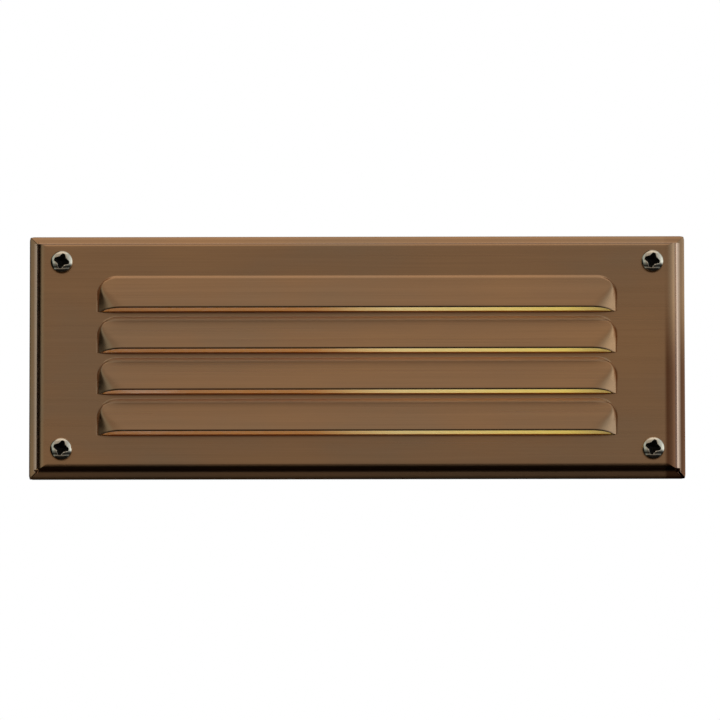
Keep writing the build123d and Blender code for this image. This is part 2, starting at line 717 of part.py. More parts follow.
with BuildPart() as lampholder:
    with BuildSketch(Plane.YZ.offset(holder_back)):
        with Locations((lamp_y, 0)):
            RectangleRounded(HOLDER_THICK, HOLDER_HEIGHT, HOLDER_CORNER)
    extrude(amount=HOLDER_LENGTH)
    with BuildSketch(Plane.YZ.offset(bracket_face)):
        with Locations((lamp_y, 0)):
            RectangleRounded(
                HOLDER_THICK + 2 * HOLDER_LIP,
                HOLDER_HEIGHT + 2 * HOLDER_LIP,
                HOLDER_CORNER + HOLDER_LIP / 2,
            )
    extrude(amount=HOLDER_FLANGE)
    barb_x = bracket_face - BRACKET_SHEET - HOLDER_FIT
    with BuildSketch(Plane.XY.offset(-HOLDER_HEIGHT / 2 - BARB_HEIGHT)):
        with Locations((barb_x - BARB_LENGTH / 2, lamp_y)):
            Rectangle(BARB_LENGTH, BARB_WIDTH)
    extrude(amount=HOLDER_HEIGHT + 2 * BARB_HEIGHT)
    with BuildSketch(Plane.YZ.offset(holder_front)):
        with Locations((lamp_y, 0)):
            Rectangle(SOCKET_THICK, SOCKET_HEIGHT)
    extrude(amount=-SOCKET_DEPTH, mode=Mode.SUBTRACT)
    with BuildSketch(Plane.YZ.offset(lead_start)):
        with Locations(*pole_places):
            Rectangle(CONTACT_SHEET + 2 * RUNNING, CONTACT_WIDTH + 2 * RUNNING)
    extrude(amount=socket_floor - lead_start, mode=Mode.SUBTRACT)
    with BuildSketch(Plane.YZ.offset(holder_back)):
        with Locations(*pole_places):
            Circle(LEAD_RADIUS + RUNNING)
    extrude(amount=LEAD_SEAT, mode=Mode.SUBTRACT)
write("lampholder", lampholder.part)

with BuildPart() as lampholder_contacts:
    with BuildSketch(Plane.YZ.offset(lead_start)):
        with Locations(*pole_places):
            Rectangle(CONTACT_SHEET, CONTACT_WIDTH)
    extrude(amount=holder_front - CONTACT_SET - lead_start)
write("lampholder_contacts", lampholder_contacts.part)


# ==== wedge base lamp: clear glass with two wires folded up on its flat base ====
neck_start = lamp_base + PINCH_LENGTH
dome_start = lamp_tip - BULB_RADIUS
room_start = neck_start + 2 * BULB_WALL


def bulb_form(start, start_radius, neck_end, radius):
    """A round-ended glass body on the lamp's axis, from its neck to its domed tip."""
    with BuildPart() as form:
        with BuildSketch(Plane.XY):
            with BuildLine():
                Polyline((dome_start + radius, lamp_y), (start, lamp_y), (start, lamp_y + start_radius))
                Spline(
                    (start, lamp_y + start_radius),
                    (neck_end, lamp_y + radius),
                    tangents=((0.6, 1), (1, 0)),
                )
                Line((neck_end, lamp_y + radius), (dome_start, lamp_y + radius))
                RadiusArc((dome_start, lamp_y + radius), (dome_start + radius, lamp_y), radius)
            make_face()
        revolve(axis=Axis((0, lamp_y, 0), (1, 0, 0)))
    return form.part


bulb_outside = bulb_form(neck_start, NECK_RADIUS, neck_start + BULB_NECK, BULB_RADIUS)
bulb_room = bulb_form(
    room_start,
    NECK_RADIUS - BULB_WALL / 2,
    room_start + BULB_NECK,
    BULB_RADIUS - BULB_WALL,
)

with BuildPart() as lamp_bulb:
    with BuildSketch(Plane.YZ.offset(lamp_base)):
        with Locations((lamp_y, 0)):
            Rectangle(PINCH_THICK, PINCH_HEIGHT)
    extrude(amount=PINCH_LENGTH)
    add(bulb_outside)
    add(bulb_room, mode=Mode.SUBTRACT)
write("lamp_bulb", lamp_bulb.part)

filament_x = room_start + SUPPORT_LENGTH - FILAMENT_RADIUS
with BuildPart() as lamp_supports:
    with BuildSketch(Plane.YZ.offset(room_start)):
        with Locations((lamp_y, WIRE_Z), (lamp_y, -WIRE_Z)):
            Circle(SUPPORT_RADIUS)
    extrude(amount=SUPPORT_LENGTH)
write("lamp_supports", lamp_supports.part)

filament_half = WIRE_Z - SUPPORT_RADIUS
with BuildPart() as lamp_filament:
    with BuildSketch(Plane.XY.offset(-filament_half)):
        with Locations((filament_x, lamp_y)):
            Circle(FILAMENT_RADIUS)
    extrude(amount=2 * filament_half)
write("lamp_filament", lamp_filament.part)

with BuildPart() as lamp_base_wires:
    for side in (-1, 1):
        fold = lamp_base - BASE_WIRE_BEND
        lane = lamp_y + side * wire_offset
        with BuildLine() as wire_path:
            FilletPolyline(
                (lamp_base, lamp_y, side * WIRE_Z),
                (fold, lamp_y, side * WIRE_Z),
                (fold, lane, side * WIRE_Z),
                (lamp_base + BASE_WIRE_LENGTH, lane, side * WIRE_Z),
                radius=BASE_WIRE_FOLD,
            )
        with BuildSketch(Plane(wire_path.line @ 0, z_dir=wire_path.line % 0)):
            Circle(BASE_WIRE_RADIUS)
        sweep(path=wire_path.line)
write("lamp_base_wires", lamp_base_wires.part)


# ==== terminal block ====
terminal_screw_places = [
    (block_x + end * TERMINAL_SCREW_X, side * TERMINAL_Z) for end in (-1, 1) for side in (-1, 1)
]
sleeve_places = [(sleeve_y, TERMINAL_Z), (sleeve_y, -TERMINAL_Z)]
terminal_tip = sleeve_y - LEAD_RADIUS - RUNNING
terminal_seat = block_front + TERMINAL_WELL

with BuildPart() as terminal_block:
    with BuildSketch(facing(block_back)):
        with Locations((block_x, 0)):
            Rectangle(BLOCK_LENGTH, BLOCK_HEIGHT)
    extrude(amount=BLOCK_THICK)
    fillet(terminal_block.faces().sort_by(Axis.Y)[0].edges(), BLOCK_ROUND)
    with BuildSketch(Plane.YZ.offset(block_x - BLOCK_LENGTH / 2)):
        with Locations(*sleeve_places):
            Circle(SLEEVE_RADIUS + RUNNING)
    extrude(amount=BLOCK_LENGTH, mode=Mode.SUBTRACT)
    with Locations(facing(block_front)):
        with Locations(*terminal_screw_places):
            CounterBoreHole(
                TERMINAL_SCREW_RADIUS + BLOCK_HOLE_FIT,
                TERMINAL_HEAD_RADIUS + BLOCK_FIT,
                TERMINAL_WELL,
                SLEEVE_DEPTH,
            )
        with Locations((block_x, 0)):
            CounterBoreHole(
                FIXING_SCREW_RADIUS + BLOCK_HOLE_FIT,
                FIXING_HEAD_RADIUS + BLOCK_FIT,
                BLOCK_WELL,
                BLOCK_THICK,
            )
write("terminal_block", terminal_block.part)

with BuildPart() as terminal_sleeves:
    with BuildSketch(Plane.YZ.offset(block_x - BLOCK_LENGTH / 2 + SLEEVE_INSET)):
        with Locations(*sleeve_places):
            Circle(SLEEVE_RADIUS)
            Circle(SLEEVE_BORE, mode=Mode.SUBTRACT)
    extrude(amount=BLOCK_LENGTH - 2 * SLEEVE_INSET)
    with BuildSketch(facing(sleeve_y)):
        with Locations(*terminal_screw_places):
            Circle(TERMINAL_SCREW_RADIUS + RUNNING)
    extrude(amount=SLEEVE_DEPTH, mode=Mode.SUBTRACT)
write("terminal_sleeves", terminal_sleeves.part)

with BuildPart() as terminal_screws:
    with BuildSketch(facing(terminal_seat)):
        with Locations(*terminal_screw_places):
            Circle(TERMINAL_HEAD_RADIUS)
    extrude(amount=TERMINAL_HEAD_HEIGHT)
    with BuildSketch(facing(terminal_seat - TERMINAL_HEAD_HEIGHT)):
        with Locations(*terminal_screw_places):
            Rectangle(2 * TERMINAL_HEAD_RADIUS, TERMINAL_SLOT)
    extrude(amount=-TERMINAL_SLOT_DEPTH, mode=Mode.SUBTRACT)
    with BuildSketch(facing(terminal_tip)):
        with Locations(*terminal_screw_places):
            Circle(TERMINAL_SCREW_RADIUS)
    extrude(amount=terminal_tip - terminal_seat)
write("terminal_screws", terminal_screws.part)

write(
    "terminal_block_screw",
    fixing_screws([(block_x, 0)], block_front + BLOCK_WELL, block_back, BLOCK_SCREW_GRIP),
)


# ==== leads from the lampholder to the terminal block ====
def lead_radii(points):
    """The largest arc at each corner that the two runs beside it leave room for."""
    radii = []
    for before, corner, after in zip(points, points[1:], points[2:]):
        arriving = Vector(*corner) - Vector(*before)
        leaving = Vector(*after) - Vector(*corner)
        turn = radians(arriving.get_angle(leaving))
        radii.append(LEAD_SHARE * min(arriving.length, leaving.length) / tan(turn / 2))
    return radii


for lead_name, side in (("lead_supply", 1), ("lead_return", -1)):
    route = [
        (lead_start, lamp_y + side * contact_middle, side * WIRE_Z),
        (holder_back - LEAD_FROM_HOLDER, lamp_y + side * contact_middle, side * WIRE_Z),
        (block_x + BLOCK_LENGTH / 2 + LEAD_FROM_BLOCK, sleeve_y, side * TERMINAL_Z),
        (block_x + LEAD_TIP, sleeve_y, side * TERMINAL_Z),
    ]
    with BuildPart() as lead:
        with BuildLine() as lead_path:
            FilletPolyline(*route, radius=lead_radii(route))
        with BuildSketch(Plane(lead_path.line @ 0, z_dir=lead_path.line % 0)):
            Circle(LEAD_RADIUS)
        sweep(path=lead_path.line)
    write(lead_name, lead.part)
    print(lead_name, "arc radii", [round(r, 1) for r in lead_radii(route)])


# ==== plug and o-ring in the side entry ====
wall_outside = left - BOX_WALL

with BuildPart() as plug_o_ring:
    with BuildSketch(Plane.YZ.offset(wall_outside - O_RING_THICK)):
        with Locations((SIDE_ENTRY_Y, 0)):
            Circle(O_RING_RADIUS)
            Circle(ENTRY_RADIUS, mode=Mode.SUBTRACT)
    extrude(amount=O_RING_THICK)
    fillet(plug_o_ring.edges().filter_by(GeomType.CIRCLE).sort_by(Edge.radius).last, O_RING_ROUND)
write("plug_o_ring", plug_o_ring.part)

with BuildPart() as entry_plug:
    with BuildSketch(Plane.YZ.offset(wall_outside - O_RING_THICK)):
        with Locations((SIDE_ENTRY_Y, 0)):
            Circle(PLUG_HEAD_RADIUS)
    extrude(amount=-PLUG_HEAD)
    chamfer(entry_plug.faces().sort_by(Axis.X)[0].edges(), PLUG_CHAMFER)
    with BuildSketch(Plane.YZ.offset(wall_outside - O_RING_THICK - PLUG_HEAD)):
        with Locations((SIDE_ENTRY_Y, 0)):
            Rectangle(2 * PLUG_HEAD_RADIUS, PLUG_SLOT)
    extrude(amount=PLUG_SLOT_DEPTH, mode=Mode.SUBTRACT)
    with BuildSketch(Plane.YZ.offset(wall_outside + PLUG_THREAD)):
        with Locations((SIDE_ENTRY_Y, 0)):
            Circle(ENTRY_RADIUS - RUNNING)
    extrude(amount=-PLUG_THREAD - O_RING_THICK)
    with BuildSketch(Plane.YZ.offset(wall_outside + PLUG_THREAD)):
        with Locations((SIDE_ENTRY_Y, 0)):
            Circle(PLUG_BORE)
    extrude(amount=-PLUG_THREAD, mode=Mode.SUBTRACT)
write("entry_plug", entry_plug.part)
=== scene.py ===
import math

import bmesh
import bpy
from mathutils import Matrix, Vector


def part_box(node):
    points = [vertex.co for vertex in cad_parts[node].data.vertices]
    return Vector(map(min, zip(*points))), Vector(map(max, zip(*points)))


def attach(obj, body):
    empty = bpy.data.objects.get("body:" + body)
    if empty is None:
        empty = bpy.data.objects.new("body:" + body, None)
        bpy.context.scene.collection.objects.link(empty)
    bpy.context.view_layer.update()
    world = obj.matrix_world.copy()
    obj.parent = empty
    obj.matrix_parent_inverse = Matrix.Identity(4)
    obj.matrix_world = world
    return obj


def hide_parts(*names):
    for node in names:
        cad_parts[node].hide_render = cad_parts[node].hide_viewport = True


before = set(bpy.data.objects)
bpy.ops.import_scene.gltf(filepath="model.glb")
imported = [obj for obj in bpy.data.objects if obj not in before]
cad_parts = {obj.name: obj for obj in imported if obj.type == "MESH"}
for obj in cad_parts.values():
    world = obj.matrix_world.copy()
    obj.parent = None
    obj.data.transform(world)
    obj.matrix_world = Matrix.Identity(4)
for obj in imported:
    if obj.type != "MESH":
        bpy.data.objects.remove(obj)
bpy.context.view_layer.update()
scene = bpy.context.scene

# ==== camera ====
# A long lens a few metres off, 12 degrees below the light and square to it from side to side. The light
# fills the frame's width.
VIEW_BELOW = 11.8
VIEW_RIGHT = 0.18
VIEW_ROLL = -0.06
VIEW_DISTANCE = 5.0
PIXELS_PER_METRE = 2788
FRAME_PIXELS = 720
PLATE_CENTRE_PIXEL = (357.1, 358.4)

below, right = math.radians(VIEW_BELOW), math.radians(VIEW_RIGHT)
towards_camera = Vector(
    (math.sin(right) * math.cos(below), -math.cos(right) * math.cos(below), -math.sin(below))
)
camera_data = bpy.data.cameras.new("camera")
camera = bpy.data.objects.new("camera", camera_data)
scene.collection.objects.link(camera)
camera.location = towards_camera * VIEW_DISTANCE
camera_turn = towards_camera.to_track_quat("Z", "Y").to_matrix()
camera.rotation_euler = (camera_turn @ Matrix.Rotation(math.radians(VIEW_ROLL), 3, "Z")).to_euler()
camera_data.lens = camera_data.sensor_width * VIEW_DISTANCE * PIXELS_PER_METRE / FRAME_PIXELS
camera_data.shift_x = (FRAME_PIXELS / 2 - PLATE_CENTRE_PIXEL[0]) / FRAME_PIXELS
camera_data.shift_y = (PLATE_CENTRE_PIXEL[1] - FRAME_PIXELS / 2) / FRAME_PIXELS
camera_data.clip_end = 100.0
scene.camera = camera
scene.view_settings.view_transform = "Standard"


# ==== stage ====
# A pale floor well below the light, and the surroundings that a polished thing shows: even in front, a soft
# box overhead and another to the right, a faint card low down, and black behind on the left. Two square
# lights help the matt parts.
FLOOR_Z = -1.3
FLOOR_SIZE = 16.0
FLOOR_COLORS = ((0.84, 0.84, 0.83), (0.88, 0.88, 0.87))
FLOOR_CLOUDS = 0.7
FLOOR_ROUGHNESS = 0.9
# Each level or tint stands at a place along its axis, from -1 to 1. A pair is where a fade starts and ends.
HEIGHT_LEVELS = (
    (-1.0, 0.01),
    (-0.70, 0.01),
    (-0.63, 0.20),
    (-0.56, 0.20),
    (-0.49, 0.015),
    (-0.34, 0.02),
    (-0.24, 0.09),
    (-0.12, 0.14),
    (0.06, 0.36),
    (0.62, 0.37),
    (0.80, 0.44),
    (0.90, 0.80),
    (1.0, 0.85),
)
RIGHT_LEVELS = ((-1.0, 0.0), (0.05, 0.0), (0.30, 0.06), (0.55, 0.18), (0.80, 0.42), (0.93, 0.72), (1.0, 1.0))
RIGHT_FROM_HEIGHT = (-0.25, 0.05)
BEHIND_FROM = (-0.15, 0.15)
LEFT_FADE = (-0.05, -0.30)
LEAST_FADE = 0.45
FAR_LEFT_BLACK = (-0.97, -0.86)
MOST_LEVEL = 1.2
LEFT_TINT = (1.13, 1.38, 1.47)
FRONT_TINT = (1.0, 0.99, 0.97)
RIGHT_TINT = (0.82, 0.98, 1.12)
TINTS = ((-0.70, LEFT_TINT), (-0.56, FRONT_TINT), (0.15, FRONT_TINT), (0.60, RIGHT_TINT))
MOST_TINT = 1.5


def material(name):
    """A new material whose tree holds nothing but its output."""
    made = bpy.data.materials.new(name)
    made.use_nodes = True
    made.node_tree.nodes.clear()
    made.node_tree.nodes.new("ShaderNodeOutputMaterial")
    return made


def add_node(tree, kind, inputs=(), **settings):
    """A node with its settings and its inputs, each a value or another node's socket."""
    node = tree.nodes.new(kind)
    for key, value in settings.items():
        setattr(node, key, value)
    for key, value in dict(inputs).items():
        if isinstance(value, bpy.types.NodeSocket):
            tree.links.new(value, node.inputs[key])
        else:
            node.inputs[key].default_value = value
    return node


def calculate(tree, operation, a, b):
    """A Math node's result."""
    return add_node(tree, "ShaderNodeMath", {0: a, 1: b}, operation=operation).outputs[0]


def smooth_step(tree, value, start, end, low=0.0, high=1.0):
    """Goes smoothly from low to high as the value goes from start to end."""
    limits = {"From Min": start, "From Max": end, "To Min": low, "To Max": high}
    step = add_node(
        tree, "ShaderNodeMapRange", {"Value": value, **limits}, interpolation_type="SMOOTHSTEP"
    )
    return step.outputs[0]


def ramp_node(tree, factor, stops):
    """A colour ramp over factor with stops of (position, colour)."""
    node = add_node(tree, "ShaderNodeValToRGB", {"Fac": factor})
    ramp = node.color_ramp
    ramp.elements[0].position, ramp.elements[0].color = stops[0][0], (*stops[0][1], 1)
    ramp.elements[1].position, ramp.elements[1].color = stops[-1][0], (*stops[-1][1], 1)
    for position, color in stops[1:-1]:
        ramp.elements.new(position).color = (*color, 1)
    return node.outputs["Color"]


def shaded(made, sockets):
    """Gives a material one Principled shader with these sockets."""
    shader = add_node(made.node_tree, "ShaderNodeBsdfPrincipled", sockets)
    output = made.node_tree.nodes["Material Output"]
    made.node_tree.links.new(shader.outputs[0], output.inputs["Surface"])
    return made


def floor_paint():
    """Matt pale paint with the faintest clouds."""
    made = material("floor_paint")
    tree = made.node_tree
    place = add_node(tree, "ShaderNodeTexCoord").outputs["Object"]
    clouds = add_node(tree, "ShaderNodeTexNoise", {"Vector": place, "Scale": FLOOR_CLOUDS})
    tone = ramp_node(tree, clouds.outputs[0], [(0.3, FLOOR_COLORS[0]), (0.7, FLOOR_COLORS[1])])
    return shaded(made, {"Base Color": tone, "Roughness": FLOOR_ROUGHNESS})


bpy.ops.mesh.primitive_plane_add(size=FLOOR_SIZE, location=(0, 0, FLOOR_Z))
floor = bpy.context.object
floor.name = "floor"
floor.data.materials.append(floor_paint())
floor.visible_glossy = False


def surroundings():
    """The world: white where the camera looks, and lit by direction where it lights the object."""
    world = bpy.data.worlds.new("studio")
    scene.world = world
    world.use_nodes = True
    tree = world.node_tree
    tree.nodes.clear()
    place = add_node(tree, "ShaderNodeTexCoord").outputs["Generated"]
    axes = add_node(tree, "ShaderNodeSeparateXYZ", {"Vector": place}).outputs

    def along(axis, stops):
        """A ramp from one end of an axis to the other."""
        share = add_node(tree, "ShaderNodeMapRange", {"Value": axes[axis], "From Min": -1.0, "From Max": 1.0})
        return ramp_node(tree, share.outputs[0], [((at + 1) / 2, color) for at, color in stops])

    height = along("Z", [(at, (level / MOST_LEVEL,) * 3) for at, level in HEIGHT_LEVELS])
    side = along("X", [(at, (level / MOST_LEVEL,) * 3) for at, level in RIGHT_LEVELS])
    tint = along("X", [(at, tuple(part / MOST_TINT for part in color)) for at, color in TINTS])
    above = smooth_step(tree, axes["Z"], *RIGHT_FROM_HEIGHT)
    behind = smooth_step(tree, axes["Y"], *BEHIND_FROM)
    leftwards = smooth_step(tree, axes["X"], *LEFT_FADE, LEAST_FADE, 1.0)
    open_side = calculate(tree, "SUBTRACT", 1.0, calculate(tree, "MULTIPLY", behind, leftwards))
    level = calculate(tree, "MULTIPLY", height, open_side)
    level = calculate(tree, "MULTIPLY", level, smooth_step(tree, axes["X"], *FAR_LEFT_BLACK))
    level = calculate(tree, "ADD", level, calculate(tree, "MULTIPLY", side, above))
    strength = calculate(tree, "MULTIPLY", level, MOST_LEVEL * MOST_TINT)
    lights = add_node(tree, "ShaderNodeBackground", {"Color": tint, "Strength": strength})
    pale = add_node(tree, "ShaderNodeBackground", {"Color": (1, 1, 1, 1), "Strength": 1.0})
    seen = add_node(tree, "ShaderNodeLightPath")
    both = add_node(
        tree,
        "ShaderNodeMixShader",
        {0: seen.outputs["Is Camera Ray"], 1: lights.outputs[0], 2: pale.outputs[0]},
    )
    output = tree.nodes.new("ShaderNodeOutputWorld")
    tree.links.new(both.outputs[0], output.inputs["Surface"])


surroundings()


def soft_light(name, place, size, power, color):
    """A square area light that looks at the object and that the camera doesn't see."""
    data = bpy.data.lights.new(name, "AREA")
    data.size = size
    data.energy = power
    data.color = color
    light = bpy.data.objects.new(name, data)
    light.location = place
    light.rotation_euler = Vector(place).to_track_quat("Z", "Y").to_euler()
    light.visible_camera = False
    light.visible_glossy = False
    scene.collection.objects.link(light)


soft_light("overhead", (0.5, -0.6, 1.9), 1.6, 22.0, (1.0, 0.99, 0.97))
soft_light("from_behind", (-0.9, 1.9, 1.2), 1.6, 26.0, (1.0, 1.0, 1.0))


# ==== face plate ====
# One sheet of brass, 1.2 mm thick, pressed into a shallow tray with its edge turned out on to the wall. Four
# louvres are cut along their lower edge and pushed out as hoods. The metal is brushed, darkened and
# lacquered.
SHEET = 0.0012
WASHER_GAP = 0.00002
FLANGE = 0.0028
FLANGE_TILT = 0.0012
FLANGE_EDGE = 0.0002
WALL_LEAN = math.radians(6.0)
END_ROLL = (0.0036, 0.0024)
LONG_ROLL = (0.0016, 0.0016)
FOLD = 0.0007
FOLD_STEPS = 5
# Width and reach of the painted highlight along the fold at each end.
FOLD_HIGHLIGHT_WIDTH = 0.0004
FOLD_HIGHLIGHT_REACH = 1.1
CORNER_ROUND = 0.0010
FACE_RISE = 0.006
SEAM_FROM = 0.0024
SEAM_GROWTH = 0.001
SEAM_REACH = 0.9
SEAMS = {(-1, 1): 0.00022, (1, 1): 0.00004, (-1, -1): 0.0004, (1, -1): 0.0010}
HOOD_ENDS = 0.0245
HOOD_MARGIN = 0.0153
HOOD_COUNT = 4
HOOD_STRIP = 0.00184
HOOD_CORNER = 0.0069
CREASE_RISE = 0.00028
CREASE_SPREAD = 1.25
LEAST_SPREAD = 0.30
LIP_SPREAD = 1.22
HOOD_LIP_GAP = 0.00058
HOOD_LIP_END = 0.008
HOOD_LIP_FOOT = 0.0010
HOOD_LIP_CURVE = 2.2
SCREW_HOLE = 0.00235
LEVEL_SPACE = 0.00004
SLACK = 0.00001

plate_low, plate_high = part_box("face_plate")
screw_low, screw_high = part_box("face_screw_top_right")
half_x, half_z = plate_high.x, plate_high.z
lip_rise = -plate_low.y - FACE_RISE
hood_half = half_x - HOOD_ENDS
hood_top = half_z - HOOD_MARGIN
hood_pitch = (2 * hood_top + HOOD_STRIP) / HOOD_COUNT
hood_drop = hood_pitch - HOOD_STRIP
screw_x = (screw_low.x + screw_high.x) / 2
screw_z = (screw_low.z + screw_high.z) / 2


def roll_end(roll):
    """The turn round a roll, which is part of an ellipse, where it meets the leaning side."""
    run, rise = roll
    return math.atan2(run, rise * math.tan(WALL_LEAN))


def roll_levels(roll, steps):
    """Depths below the face at even turns round a roll."""
    return [roll[1] * (1 - math.cos(roll_end(roll) * i / steps)) for i in range(steps + 1)]


def edge_profile(levels, roll):
    """How far in from the tray's foot the side lies at each depth below the face."""
    run, rise = roll
    lean = math.tan(WALL_LEAN)
    end_depth = rise * (1 - math.cos(roll_end(roll)))
    start = (FACE_RISE - end_depth) * lean + run * math.sin(roll_end(roll))
    insets = []
    for depth in levels:
        if depth < end_depth:
            insets.append(start - run * math.sin(math.acos(1 - depth / rise)))
        else:
            insets.append((FACE_RISE - depth) * lean)
    return insets


shared_levels = []
for level in sorted(roll_levels(END_ROLL, 16) + roll_levels(LONG_ROLL, 8)):
    if not shared_levels or level - shared_levels[-1] > LEVEL_SPACE:
        shared_levels.append(level)
flange_slope = FLANGE_TILT / FLANGE
flange_top = FACE_RISE - SHEET - FLANGE_TILT
fold_inset = (FACE_RISE - flange_top) * math.tan(WALL_LEAN)
fold_point = Vector((fold_inset, flange_top - fold_inset * flange_slope))
up_wall = Vector((math.tan(WALL_LEAN), -1.0)).normalized() * FOLD
along_flange = Vector((-1.0, flange_slope)).normalized() * FOLD


def fold():
    """(inset, depth) round the inside fold between the tray's side and its flange."""
    start, end = fold_point + up_wall, fold_point + along_flange
    shares = [step / FOLD_STEPS for step in range(FOLD_STEPS + 1)]
    return [start * (1 - t) ** 2 + fold_point * (2 * t * (1 - t)) + end * t * t for t in shares]


def flange_point(out):
    """(inset, depth) on the flange at this distance out from the tray's foot."""
    return Vector((-out, flange_top + out * flange_slope))


# Two points on the flange's flat, and two round its edge.
flange_points = [flange_point(FLANGE / 2), flange_point(FLANGE - FLANGE_EDGE)]
flange_points.append(flange_point(FLANGE - FLANGE_EDGE / 4) + Vector((0, FLANGE_EDGE * 0.4)))
flange_points.append(flange_point(FLANGE) + Vector((0, FLANGE_EDGE)))


def border(roll):
    """(inset from the tray's foot, depth below the face) from the flange's edge in to the flat face."""
    rolled = list(zip(edge_profile(shared_levels, roll), shared_levels))
    return list(reversed(rolled + [tuple(point) for point in fold() + flange_points]))


def lines(half, roll, marks):
    """(place, depth, border step) of each grid line across the plate, from its low edge to its high one."""
    edge = border(roll)
    foot = half - FLANGE
    low = [(-(foot - inset), depth, step) for step, (inset, depth) in enumerate(edge)]
    high = [(foot - inset, depth, step) for step, (inset, depth) in enumerate(edge)]
    return low + [(mark, 0.0, len(edge)) for mark in marks] + list(reversed(high))


# The grid's lines stand evenly across the square round each screw hole, and closer together towards the end
# of a hood.
HOLE_SQUARE = 0.0032
HOLE_LINES = 9
LINE_BESIDE_HOLE = 0.0995
LINE_ABOVE_HOLE = 0.0386
END_REACH = 0.0113
FIRST_STEP = 0.0001
STEP_GROWTH = 1.055
OUTSIDE_STEPS = (0.0009, 0.0005, 0.00028, 0.00012)
OUTSIDE_REACH = 0.0033

hole_offsets = [HOLE_SQUARE * (2 * i / (HOLE_LINES - 1) - 1) for i in range(HOLE_LINES)]
end_lines = [hood_half]
step = FIRST_STEP
while hood_half - end_lines[0] < END_REACH:
    end_lines.insert(0, end_lines[0] - step)
    step *= STEP_GROWTH
end_lines += [hood_half + reach for reach in reversed(OUTSIDE_STEPS)]
outer_lines = [hood_half + OUTSIDE_REACH, LINE_BESIDE_HOLE] + [screw_x + offset for offset in hole_offsets]
MIDDLE_SPACES = 24
middle_lines = [end_lines[0] * (2 * i / MIDDLE_SPACES - 1) for i in range(1, MIDDLE_SPACES)]
side_lines = end_lines + outer_lines
columns = lines(half_x, END_ROLL, [-x for x in reversed(side_lines)] + middle_lines + side_lines)

# The grid's rows down a hood: millimetres from its crease, then shares of the way on to its lip, the last of
# them turned in. Below the cut, each pair is how far down a row lies and how far back it is pressed.
CREASE_ROWS = (-0.6, -0.4, -0.25, -0.12, 0.0, 0.1, 0.2, 0.32, 0.45, 0.6, 0.75, 0.9, 1.1, 1.35, 1.65)
hood_rows = [row * 0.001 for row in CREASE_ROWS]
LIP_SHARES = (
    (0.045, 0.09, 0.14, 0.20, 0.27, 0.35, 0.44, 0.53)
    + (0.62, 0.71, 0.80, 0.88, 0.94, 0.966, 0.985, 1.0)
)
LIP_TURNED_IN = (0.0, 0.00003, 0.00011, 0.00032)
CUT_SHARE = 0.5
CUT_ROWS = ((0.0, 0.00030), (0.00010, 0.00012), (0.00025, 0.00003), (0.0005, 0.0))


def lip_gap(x):
    """How far the lip is drawn up from the cut at x: even along the middle, closing at both ends."""
    end = hood_half - HOOD_LIP_FOOT
    share = min(max((end - abs(x)) / HOOD_LIP_END, 0.0), 1.0)
    return HOOD_LIP_GAP * (1 - (1 - share) ** HOOD_LIP_CURVE)


def corner_inset(drop):
    """How far the hood's outline lies in from its end, at this drop below its top."""
    if drop >= HOOD_CORNER:
        return 0.0
    across = HOOD_CORNER - max(drop, 0.0)
    return HOOD_CORNER - math.sqrt(HOOD_CORNER**2 - across**2)


def drawn_to_outline(x, drop):
    """Moves a column's line so that the one at the hood's end follows the hood's rounded corner."""
    inset = corner_inset(drop)
    far = abs(x)
    if hood_half - END_REACH < far <= hood_half:
        share = (far - hood_half + END_REACH) / END_REACH
    elif hood_half < far < hood_half + OUTSIDE_REACH:
        share = 1 - (far - hood_half) / OUTSIDE_REACH
    else:
        share = 0.0
    return math.copysign(far - inset * share, x)


def inside_foot(x, drop):
    """Distance in from the hood's outline, which has rounded upper corners."""
    from_end, from_top = hood_half - abs(x), drop
    if from_end < HOOD_CORNER and from_top < HOOD_CORNER:
        return HOOD_CORNER - math.hypot(HOOD_CORNER - from_end, HOOD_CORNER - from_top)
    return min(from_end, from_top)


